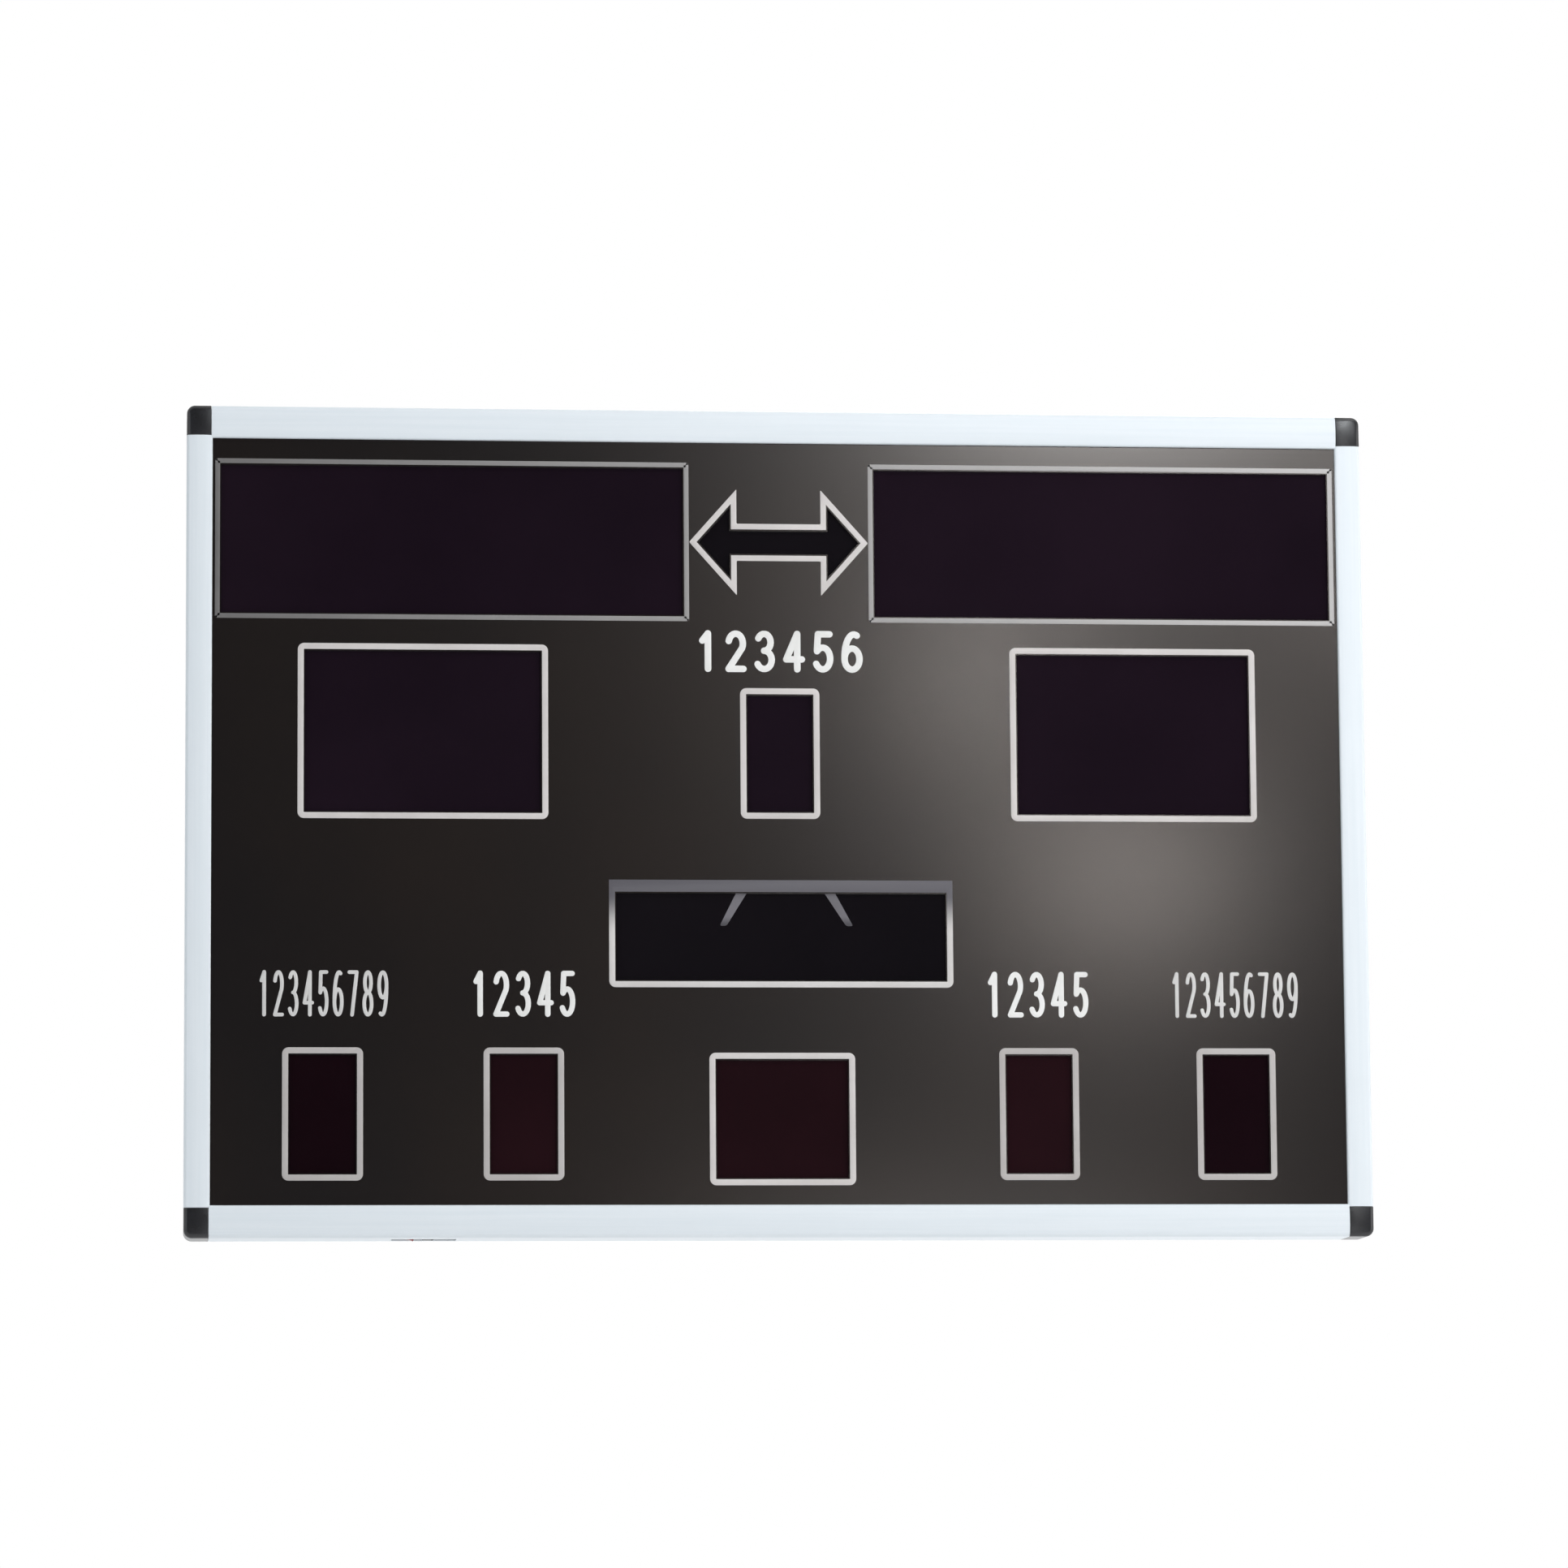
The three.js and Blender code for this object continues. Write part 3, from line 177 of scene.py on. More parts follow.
def cleanUp(obj, smoothAngle=32):
    editAll(obj)
    bpy.ops.mesh.remove_doubles(threshold=reach["merge"])
    bpy.ops.mesh.normals_make_consistent(inside=False)
    leave()
    pickOnly(obj)
    bpy.ops.object.shade_smooth_by_angle(angle=math.radians(smoothAngle))


def joinAll(name, parts):
    pickNone()
    for part in parts:
        part.select_set(True)
    bpy.context.view_layer.objects.active = parts[0]
    bpy.ops.object.join()
    return newest(name)


def copyOf(obj, name):
    twin = obj.copy()
    twin.data = obj.data.copy()
    twin.name = name
    twin.data.name = name
    bpy.context.collection.objects.link(twin)
    return twin


def shiftMesh(obj, offset):
    obj.data.transform(Matrix.Translation(offset))
    return obj


def dress(obj, material, body="case", replaced=()):
    obj.data.materials.clear()
    obj.data.materials.append(material)
    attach(obj, body)
    if replaced:
        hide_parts(*replaced)


# Materials: a noise between two close colours, a roughness that varies with it, and a fine bump

# Another colour takes over from one place to another, upwards or along the board
def addFade(tree, place, ramp, shader, fade):
    parts = tree.nodes.new("ShaderNodeSeparateXYZ")
    share = tree.nodes.new("ShaderNodeMapRange")
    share.interpolation_type = fade.get("blend", "SMOOTHSTEP")
    share.inputs["From Min"].default_value = fade["from"]
    share.inputs["From Max"].default_value = fade["to"]
    mix = tree.nodes.new("ShaderNodeMix")
    mix.data_type = "RGBA"
    mix.inputs["B"].default_value = (*fade["colour"], 1)
    tree.links.new(place.outputs["Object"], parts.inputs["Vector"])
    tree.links.new(parts.outputs[fade.get("axis", "Z")], share.inputs["Value"])
    tree.links.new(share.outputs["Result"], mix.inputs["Factor"])
    tree.links.new(ramp.outputs["Color"], mix.inputs["A"])
    tree.links.new(mix.outputs["Result"], shader.inputs["Base Color"])


# A colour ramp between two colours, with a flat stretch at each end
def addRamp(tree, start, end, dark, light):
    ramp = tree.nodes.new("ShaderNodeValToRGB")
    first, last = ramp.color_ramp.elements
    first.position, first.color = start, (*dark, 1)
    last.position, last.color = end, (*light, 1)
    return ramp


# What a finish has unless its own recipe says otherwise
commonFinish = {
    "metallic": 0.0, "ior": 1.5, "specular": 0.5, "specularTint": (1, 1, 1), "stretch": (1, 1, 1),
    "toneDetail": 4.0, "toneRoughness": 0.55, "toneStart": 0.32, "toneEnd": 0.68, "grainDetail": 3.0,
}


def newFinish(name, own):
    recipe = {**commonFinish, **own}
    material = bpy.data.materials.new(name)
    material.use_nodes = True
    tree = material.node_tree
    shader = tree.nodes["Principled BSDF"]
    shader.inputs["Metallic"].default_value = recipe["metallic"]
    shader.inputs["IOR"].default_value = recipe["ior"]
    shader.inputs["Specular IOR Level"].default_value = recipe["specular"]
    shader.inputs["Specular Tint"].default_value = (*recipe["specularTint"], 1)
    place = tree.nodes.new("ShaderNodeTexCoord")
    mapping = tree.nodes.new("ShaderNodeMapping")
    mapping.inputs["Scale"].default_value = recipe["stretch"]
    tree.links.new(place.outputs["Object"], mapping.inputs["Vector"])
    tone = tree.nodes.new("ShaderNodeTexNoise")
    tone.inputs["Scale"].default_value = recipe["toneScale"]
    tone.inputs["Detail"].default_value = recipe["toneDetail"]
    tone.inputs["Roughness"].default_value = recipe["toneRoughness"]
    ramp = addRamp(tree, recipe["toneStart"], recipe["toneEnd"], recipe["dark"], recipe["light"])
    gloss = tree.nodes.new("ShaderNodeMapRange")
    gloss.inputs["To Min"].default_value, gloss.inputs["To Max"].default_value = recipe["roughness"]
    grain = tree.nodes.new("ShaderNodeTexNoise")
    grain.inputs["Scale"].default_value = recipe["grainScale"]
    grain.inputs["Detail"].default_value = recipe["grainDetail"]
    bump = tree.nodes.new("ShaderNodeBump")
    bump.inputs["Strength"].default_value = recipe["bumpStrength"]
    bump.inputs["Distance"].default_value = recipe["bumpDistance"]
    tree.links.new(mapping.outputs["Vector"], tone.inputs["Vector"])
    tree.links.new(mapping.outputs["Vector"], grain.inputs["Vector"])
    tree.links.new(tone.outputs["Fac"], ramp.inputs["Fac"])
    if "fade" in recipe:
        addFade(tree, place, ramp, shader, recipe["fade"])
    else:
        tree.links.new(ramp.outputs["Color"], shader.inputs["Base Color"])
    tree.links.new(grain.outputs["Fac"], gloss.inputs["Value"])
    tree.links.new(gloss.outputs["Result"], shader.inputs["Roughness"])
    tree.links.new(grain.outputs["Fac"], bump.inputs["Height"])
    tree.links.new(bump.outputs["Normal"], shader.inputs["Normal"])
    return material


# Satin white anodised bar, with faint lines along the extrusion
def newBarFinish(name, stretch):
    return newFinish(name, {
        "dark": (0.785, 0.838, 0.875), "light": (0.820, 0.866, 0.900), "roughness": (0.42, 0.52),
        "stretch": stretch, "toneScale": 5, "grainScale": 22, "bumpStrength": 0.08, "bumpDistance": 0.00006})


# Printed paint, slightly uneven
def newPrint(name, dark, light, toneScale, **more):
    return newFinish(name, {
        "dark": dark, "light": light, "roughness": (0.42, 0.55), "toneScale": toneScale, "grainScale": 600,
        "bumpStrength": 0.1, "bumpDistance": 0.00008, **more})


# Smoked acrylic, glossy and hardly uneven
def newPane(name, dark, light):
    return newFinish(name, {
        "dark": dark, "light": light, "roughness": (0.010, 0.020), "toneScale": 4, "grainScale": 40,
        "bumpStrength": 0.02, "bumpDistance": 0.0001, "ior": 1.49})


aluminiumRail = newBarFinish("satinBarAcross", (1, 60, 60))
aluminiumStile = newBarFinish("satinBarUpright", (60, 60, 1))
cornerPlastic = newFinish("cornerPlastic", {
    "dark": (0.009, 0.009, 0.010), "light": (0.017, 0.017, 0.020), "roughness": (0.24, 0.34),
    "toneScale": 60, "grainScale": 900, "bumpStrength": 0.15, "bumpDistance": 0.0002})
panelPrint = newFinish("panelSatinBlack", {
    "dark": (0.0060, 0.0052, 0.0056), "light": (0.0120, 0.0085, 0.0070), "roughness": (0.200, 0.228),
    "specular": 0.68, "specularTint": (1.0, 0.92, 0.87), "toneScale": 2.2, "toneDetail": 3, "grainScale": 700,
    "bumpStrength": 0.05, "bumpDistance": 0.0001})
linePrint = newPrint("linePrintWhite", (0.60, 0.56, 0.54), (0.69, 0.65, 0.63), 12)
# A darker copy of the white line print, for the fouls and time-out outlines in the lower row: painted shade.
shadedLinePrint = newPrint("linePrintPaintedShade", (0.455, 0.424, 0.408), (0.530, 0.500, 0.485), 12)
# The name outlines are grey print. The fade along X, which makes them lighter towards the board's right side,
# is painted sheen.
nameLinePrintWithPaintedSheen = newPrint(
    "nameLineGreyPaintedSheen", (0.135, 0.128, 0.126), (0.175, 0.167, 0.162), 12,
    fade={"axis": "X", "blend": "LINEAR", "from": -0.62, "to": 0.62, "colour": (0.52, 0.50, 0.49)})
# The clock outline turns grey towards its top, and is white lower down.
clockLinePrint = newPrint(
    "clockLinePrint", (0.61, 0.58, 0.56), (0.70, 0.67, 0.65), 12,
    fade={"from": -0.425, "to": -0.380, "colour": (0.105, 0.099, 0.113)})
numberPrint = newPrint("numberPrintWhite", (0.80, 0.79, 0.76), (0.88, 0.87, 0.85), 25)
softNumberPrint = newPrint("numberPrintSoft", (0.62, 0.605, 0.59), (0.70, 0.685, 0.665), 25)
# The two slanted strokes in the clock window are grey, darker towards their lower ends.
clockStrokeGrey = newPrint(
    "clockStrokeColour", (0.125, 0.118, 0.132), (0.160, 0.150, 0.168), 25,
    fade={"from": -0.4035, "to": -0.4155, "colour": (0.040, 0.037, 0.045)})
paneGrey = newPane("paneSmokedGrey", (0.0045, 0.0036, 0.0050), (0.0062, 0.0048, 0.0066))
paneViolet = newPane("paneSmokedViolet", (0.0085, 0.0042, 0.0085), (0.0125, 0.0062, 0.0120))
paneRed = newPane("paneSmokedRed", (0.0125, 0.0032, 0.0050), (0.0185, 0.0048, 0.0072))
paneDeepRed = newPane("paneSmokedDeepRed", (0.0060, 0.0012, 0.0028), (0.0088, 0.0018, 0.0040))
displayBlack = newFinish("displayHousing", {
    "dark": (0.010, 0.010, 0.010), "light": (0.018, 0.018, 0.018), "roughness": (0.6, 0.8),
    "toneScale": 40, "grainScale": 700, "bumpStrength": 0.3, "bumpDistance": 0.0002})
backCoat = newFinish("backPowderCoat", {
    "dark": (0.020, 0.020, 0.022), "light": (0.032, 0.032, 0.034), "roughness": (0.5, 0.62),
    "toneScale": 6, "grainScale": 500, "bumpStrength": 0.5, "bumpDistance": 0.0002})
railZinc = newFinish("railZinc", {
    "dark": (0.30, 0.32, 0.34), "light": (0.48, 0.50, 0.52), "roughness": (0.32, 0.5), "metallic": 0.85,
    "toneScale": 45, "grainScale": 220, "bumpStrength": 0.15, "bumpDistance": 0.0001})
rubberBlack = newFinish("bumperRubber", {
    "dark": (0.010, 0.010, 0.010), "light": (0.020, 0.020, 0.020), "roughness": (0.75, 0.9),
    "toneScale": 80, "grainScale": 900, "bumpStrength": 0.4, "bumpDistance": 0.0002})
supplySteel = newFinish("supplySteel", {
    "dark": (0.32, 0.33, 0.34), "light": (0.46, 0.47, 0.48), "roughness": (0.35, 0.5), "metallic": 0.8,
    "toneScale": 60, "grainScale": 300, "bumpStrength": 0.1, "bumpDistance": 0.0001})
boardGreen = newFinish("boardGreen", {
    "dark": (0.008, 0.055, 0.020), "light": (0.014, 0.085, 0.032), "roughness": (0.35, 0.5),
    "toneScale": 120, "grainScale": 700, "bumpStrength": 0.2, "bumpDistance": 0.0001})
inletBlack = newFinish("inletPlastic", {
    "dark": (0.012, 0.012, 0.013), "light": (0.020, 0.020, 0.022), "roughness": (0.35, 0.5),
    "toneScale": 90, "grainScale": 1200, "bumpStrength": 0.3, "bumpDistance": 0.0001})
rockerRed = newFinish("rockerRed", {
    "dark": (0.24, 0.012, 0.010), "light": (0.34, 0.020, 0.016), "roughness": (0.28, 0.4),
    "toneScale": 90, "grainScale": 1200, "bumpStrength": 0.1, "bumpDistance": 0.0001})
leadBlack = newFinish("leadSheath", {
    "dark": (0.012, 0.012, 0.013), "light": (0.022, 0.022, 0.024), "roughness": (0.5, 0.65),
    "toneScale": 90, "grainScale": 900, "bumpStrength": 0.2, "bumpDistance": 0.0001})
print("scoreboard: finishes made")


# Room: pale floor, a dim wall behind the camera, soft lamps and the camera

room = {
    "floorZ": -1.32, "floorSize": 24.0, "floorColour": (0.80, 0.80, 0.80), "floorLift": 0.45, "matt": 0.9,
    "wallY": -7.6, "wallZ": 0.9, "wallSize": (18.0, 11.0), "wallDark": (0.028, 0.026, 0.029),
    "wallLight": (0.080, 0.072, 0.078), "wallPatches": 0.55, "patchDetail": 1.0, "patchStart": 0.38,
    "patchEnd": 0.64, "worldAmbient": (0.62, 0.64, 0.66), "worldStrength": 1.0,
}


# 1 where the camera sees a surface itself, in a gloss or through glass, and 0 where it only lights others
def seenByCamera(tree):
    rays = tree.nodes.new("ShaderNodeLightPath")
    seen = rays.outputs["Is Camera Ray"]
    for ray in ("Is Glossy Ray", "Is Transmission Ray"):
        either = tree.nodes.new("ShaderNodeMath")
        either.operation = "MAXIMUM"
        tree.links.new(seen, either.inputs[0])
        tree.links.new(rays.outputs[ray], either.inputs[1])
        seen = either.outputs[0]
    return seen


def makeFloor():
    bpy.ops.mesh.primitive_plane_add(size=room["floorSize"], location=(0, 0, room["floorZ"]))
    floor = newest("floor")
    material = bpy.data.materials.new("paleFloor")
    material.use_nodes = True
    tree = material.node_tree
    shader = tree.nodes["Principled BSDF"]
    shader.inputs["Base Color"].default_value = (*room["floorColour"], 1)
    shader.inputs["Roughness"].default_value = room["matt"]
    lift = tree.nodes.new("ShaderNodeEmission")
    strength = tree.nodes.new("ShaderNodeMath")
    strength.operation = "MULTIPLY"
    strength.inputs[1].default_value = room["floorLift"]
    total = tree.nodes.new("ShaderNodeAddShader")
    tree.links.new(seenByCamera(tree), strength.inputs[0])
    tree.links.new(strength.outputs[0], lift.inputs["Strength"])
    tree.links.new(shader.outputs[0], total.inputs[0])
    tree.links.new(lift.outputs[0], total.inputs[1])
    tree.links.new(total.outputs[0], tree.nodes["Material Output"].inputs["Surface"])
    floor.data.materials.append(material)


# The panes mirror this wall, which the camera itself doesn't see
def makeWall():
    bpy.ops.mesh.primitive_plane_add(
        size=1, location=(0, room["wallY"], room["wallZ"]), rotation=(math.pi / 2, 0, 0))
    wall = newest("wallBehindCamera")
    wall.scale = (*room["wallSize"], 1)
    settle(wall)
    material = bpy.data.materials.new("dimWall")
    material.use_nodes = True
    tree = material.node_tree
    shader = tree.nodes["Principled BSDF"]
    shader.inputs["Roughness"].default_value = room["matt"]
    place = tree.nodes.new("ShaderNodeTexCoord")
    patches = tree.nodes.new("ShaderNodeTexNoise")
    patches.inputs["Scale"].default_value = room["wallPatches"]
    patches.inputs["Detail"].default_value = room["patchDetail"]
    ramp = addRamp(tree, room["patchStart"], room["patchEnd"], room["wallDark"], room["wallLight"])
    tree.links.new(place.outputs["Object"], patches.inputs["Vector"])
    tree.links.new(patches.outputs["Fac"], ramp.inputs["Fac"])
    tree.links.new(ramp.outputs["Color"], shader.inputs["Base Color"])
    wall.data.materials.append(material)
    wall.visible_camera = False


# A grey world lights the board, and a white one stands behind it
def makeWorld():
    world = bpy.data.worlds.new("studio")
    world.use_nodes = True
    tree = world.node_tree
    ambient = tree.nodes["Background"]
    ambient.inputs["Color"].default_value = (*room["worldAmbient"], 1)
    white = tree.nodes.new("ShaderNodeBackground")
    white.inputs["Color"].default_value = (1, 1, 1, 1)
    for light in (ambient, white):
        light.inputs["Strength"].default_value = room["worldStrength"]
    mix = tree.nodes.new("ShaderNodeMixShader")
    tree.links.new(seenByCamera(tree), mix.inputs[0])
    tree.links.new(ambient.outputs[0], mix.inputs[1])
    tree.links.new(white.outputs[0], mix.inputs[2])
    tree.links.new(mix.outputs[0], tree.nodes["World Output"].inputs["Surface"])
    bpy.context.scene.world = world


# The sheen lamps are small and lie where the satin panel mirrors them between the windows
lamps = {
    "sideLamp": {"place": (3.0, -1.8, -0.2), "aim": (0.2, 0, -0.3), "size": (1.6, 1.6), "power": 22},
    "highLamp": {"place": (1.3, -1.9, 2.4), "aim": (0.2, 0, -0.3), "size": (1.6, 1.6), "power": 28},
    "fillLamp": {"place": (-2.7, -2.5, 0.0), "aim": (-0.1, 0, -0.3), "size": (1.8, 1.8), "power": 12,
                 "colour": (0.88, 0.95, 1.0)},
    "topSheenLamp": {"place": (0.830, -2.96, 0.963), "aim": (0.39, 0, 0.34), "size": (0.42, 0.14),
                     "power": 20, "colour": (0.93, 0.97, 1.0)},
    "bandSheenLamp": {"place": (0.823, -2.96, -0.017), "aim": (0.385, 0, -0.355), "size": (0.226, 0.085),
                      "power": 2.0},
    "sheenLamp": {"place": (0.593, -2.96, 0.301), "aim": (0.222, 0, -0.13), "size": (0.056, 0.113),
                  "power": 1.4},
    "rightSheenLamp": {"place": (1.323, -2.96, 0.484), "aim": (0.74, 0, 0), "size": (0.085, 0.212),
                       "power": 1.4},
    "lowSheenLamp": {"place": (0.562, -2.96, -0.743), "aim": (0.20, 0, -0.87), "size": (0.70, 0.11),
                     "power": 2.1},
    "rearLamp": {"place": (1.4, 3.2, 1.8), "aim": (0, 0, -0.3), "size": (2.4, 2.4), "power": 90},
}


def makeLamps():
    for name, lamp in lamps.items():
        light = bpy.data.lights.new(name, "AREA")
        light.shape = "RECTANGLE"
        light.size, light.size_y = lamp["size"]
        light.energy = lamp["power"]
        light.color = lamp.get("colour", (1, 1, 1))
        obj = bpy.data.objects.new(name, light)
        bpy.context.collection.objects.link(obj)
        obj.location = lamp["place"]
        way = Vector(lamp["aim"]) - Vector(lamp["place"])
        obj.rotation_euler = way.to_track_quat("-Z", "Y").to_euler()


photoView = {
    "place": (-0.6820, -7.1367, -1.1798), "yaw": -0.09667, "pitch": 0.12888, "roll": 0.00741,
    "lens": 150.0, "sensor": 36,
}


def makeCamera():
    data = bpy.data.cameras.new("photoCamera")
    data.lens = photoView["lens"]
    data.sensor_width = photoView["sensor"]
    data.sensor_fit = "HORIZONTAL"
    camera = bpy.data.objects.new("photoCamera", data)
    bpy.context.collection.objects.link(camera)
    turn = (Matrix.Rotation(photoView["yaw"], 3, "Z") @ Matrix.Rotation(photoView["pitch"], 3, "X")
            @ Matrix.Rotation(photoView["roll"], 3, "Y") @ Matrix.Rotation(math.pi / 2, 3, "X"))
    camera.rotation_euler = turn.to_euler()
    camera.location = photoView["place"]
    bpy.context.scene.camera = camera


bpy.context.scene.view_settings.view_transform = "Standard"
makeFloor()
makeWall()
makeWorld()
makeLamps()
makeCamera()
print("scoreboard: room, lamps and camera made")


# Frame bars: one section, drawn with its outer edge up, drawn out along X and turned to its side

board = {"halfWidth": 0.650, "top": 0.156, "bottom": -0.756, "front": -0.068, "rear": -0.008}
boardMiddleZ = (board["top"] + board["bottom"]) / 2
halfHeight = (board["top"] - board["bottom"]) / 2

bars = {
    "railWidth": 0.0357, "stileWidth": 0.0282, "capWidth": 0.0267, "capHeight": 0.0328, "startWidth": 0.002,
    "crown": 0.0018, "crownLift": 0.0027, "crownSpan": 0.0110, "crownSteps": 8, "outerRound": 0.0050,
    "outerSteps": 8, "innerRound": 0.0020, "innerSteps": 5, "wall": 0.0035, "grooveFront": -0.0623,
    "grooveBack": -0.0587, "grooveDepth": 0.0080, "shoulder": -0.0120, "lip": 0.0018, "gap": 0.0003,
    "inletSide": 0.0037, "inletFront": 0.0022, "inletBelow": 0.01, "inletAbove": 0.06,
}


def makeBar(name, width, outerZ, seam, mitre, capReach):
    b = bars
    front = board["front"] + b["crown"]
    inner = outerZ - width
    obj = addSheet(name, -b["startWidth"] / 2, b["startWidth"] / 2, inner, outerZ, 0)
    # the sheet is turned to stand across the bar, at its left end, and gets its depth
    obj.data.transform(Matrix.Rotation(math.pi / 2, 4, "Z"))
    edit(obj, "VERT")
    mesh = bmesh.from_edit_mesh(obj.data)
    for vert in mesh.verts:
        vert.co.x = -seam
        vert.co.y = front if vert.co.y < 0 else board["rear"]
    bmesh.update_edit_mesh(obj.data)

    def pickFrontPoint(z):
        pickWhere(obj, "VERT", lambda v: near(v.co.y, front) and near(v.co.z, z))

    # crowned front with rounded edges
    pickWhere(obj, "EDGE", edgeAt(1, front))
    bpy.ops.mesh.subdivide(number_cuts=1)
    pickFrontPoint((inner + outerZ) / 2)
    bpy.ops.transform.translate(value=(0, -b["crownLift"], 0))
    bevelPicked(b["crownSpan"], b["crownSteps"], "VERTICES")
    pickFrontPoint(outerZ)
    bevelPicked(b["outerRound"], b["outerSteps"], "VERTICES")
    pickFrontPoint(inner)
    bevelPicked(b["innerRound"], b["innerSteps"], "VERTICES")
    # groove for the face panel, step for the back panel and the open chamber
    behind = front + b["wall"]
    chamberFront = b["grooveBack"] + b["wall"] / 2
    chamberBack = b["shoulder"] - b["wall"] / 2
    for y in (behind, b["grooveFront"], b["grooveBack"], chamberFront, chamberBack, b["shoulder"]):
        bpy.ops.mesh.select_all(action="SELECT")
        cutAt((0, y, 0), (0, 1, 0))
    chamberTop = outerZ - b["lip"]
    for z in (inner + b["lip"], inner + b["grooveDepth"], inner + b["grooveDepth"] + b["lip"], chamberTop):
        pickWhere(obj, "FACE", lambda f: f.calc_center_median().y > behind)
        cutAt((0, 0, z), (0, 0, 1))

    def isOpen(face):
        at = face.calc_center_median()
        groove = b["grooveFront"] < at.y < b["grooveBack"] and at.z < inner + b["grooveDepth"]
        step = at.y > b["shoulder"] and at.z < chamberTop
        beside = behind < at.y < chamberFront and inner + b["grooveDepth"] + b["lip"] < at.z < chamberTop
        under = chamberFront < at.y < chamberBack and inner + b["lip"] < at.z < chamberTop
        return groove or step or beside or under

    pickWhere(obj, "FACE", isOpen)
    bpy.ops.mesh.delete(type="FACE")
    bpy.ops.mesh.select_all(action="SELECT")
    extrudeBy(2 * seam, 0, 0)
    # the inner edge is mitred inside the corner pieces
    for side in (-1, 1):
        bpy.ops.mesh.select_all(action="SELECT")
        along = Vector((side * (seam - mitre), 0, outerZ - capReach - inner))
        cutAt((side * mitre, 0, inner), (side * along.z, 0, -abs(along.x)), clear_outer=True, use_fill=True)
    leave()
    cleanUp(obj)
    return obj


def makeBars():
    b = bars
    seamX = board["halfWidth"] - b["capWidth"] - b["gap"]
    seamZ = halfHeight - b["capHeight"] - b["gap"]
    innerX = board["halfWidth"] - b["stileWidth"] - b["gap"]
    innerZ = halfHeight - b["railWidth"] - b["gap"]
    top = makeBar("topBar", b["railWidth"], halfHeight, seamX, innerX, b["capHeight"])
    bottom = copyOf(top, "bottomBar")
    bottom.data.transform(Matrix.Rotation(math.pi, 4, "Y"))
    right = makeBar("rightBar", b["stileWidth"], board["halfWidth"], seamZ, innerZ, b["capWidth"])
    left = copyOf(right, "leftBar")
    right.data.transform(Matrix.Rotation(math.pi / 2, 4, "Y"))
    left.data.transform(Matrix.Rotation(-math.pi / 2, 4, "Y"))
    for obj in (top, bottom, right, left):
        shiftMesh(obj, (0, 0, boardMiddleZ))
    # the mains inlet passes through the bottom bar
    low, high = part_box("inlet_housing")
    cutter = addBlock(
        "inletCutter", (low.x + b["inletSide"], low.y + b["inletFront"], board["bottom"] - b["inletBelow"]),
        (high.x - b["inletSide"], high.y - b["inletFront"], board["bottom"] + b["inletAbove"]))
    combine(bottom, cutter, "DIFFERENCE")
    bpy.data.objects.remove(cutter)
    for obj, material, node in ((top, aluminiumRail, "rail_top"), (bottom, aluminiumRail, "rail_bottom"),
                                (left, aluminiumStile, "stile_left"), (right, aluminiumStile, "stile_right")):
        dress(obj, material, replaced=[node])


makeBars()
print("scoreboard: frame bars made")


# Window outlines: a printed ring, under half a millimetre thick, with rounded outer corners

lines = {"back": -0.0620, "thickness": 0.00045, "stroke": 0.0066, "nameStroke": 0.0053, "outerRound": 0.0070,
         "nameRound": 0.0027, "roundSteps": 8, "clockBar": 0.0132, "edge": 0.00012, "edgeAngle": 60}


# A flat ring gets its thickness, and then a faint edge
def thickenOutline(obj):
    bpy.ops.mesh.select_all(action="SELECT")
    extrudeBy(0, -lines["thickness"], 0)


def finishOutline(obj, material, node):
    leave()
    roundEdges(obj, lines["edge"], angle=lines["edgeAngle"])
    cleanUp(obj)
    dress(obj, material, replaced=[node])


def makeOutline(name, node, stroke, outerRound, material, squareTop=False):
    low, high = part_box(node)
    obj = addSheet(name, low.x, high.x, low.z, high.z, lines["back"])
    edit(obj, "VERT")
    pickWhere(obj, "VERT", lambda v: not squareTop or v.co.z < (low.z + high.z) / 2)
    bevelPicked(outerRound, lines["roundSteps"], "VERTICES")
    bpy.ops.mesh.select_all(action="SELECT")
    bpy.ops.mesh.inset(thickness=stroke, use_even_offset=True)
    if squareTop:
        pickWhere(obj, "EDGE", edgeAt(2, high.z - stroke, reach["loose"]))
        bpy.ops.transform.translate(value=(0, 0, stroke - lines["clockBar"]))
    half = (high.x - low.x) * (high.z - low.z) / 2
    pickWhere(obj, "FACE", lambda f: f.calc_area() > half)
    bpy.ops.mesh.delete(type="FACE")
    thickenOutline(obj)
    finishOutline(obj, material, node)


arrow = {"tip": 0.0990, "headBase": 0.0465, "headHalf": 0.0592, "shaftHalf": 0.0207, "stroke": 0.0062,
         "round": 0.0012, "roundSteps": 3}


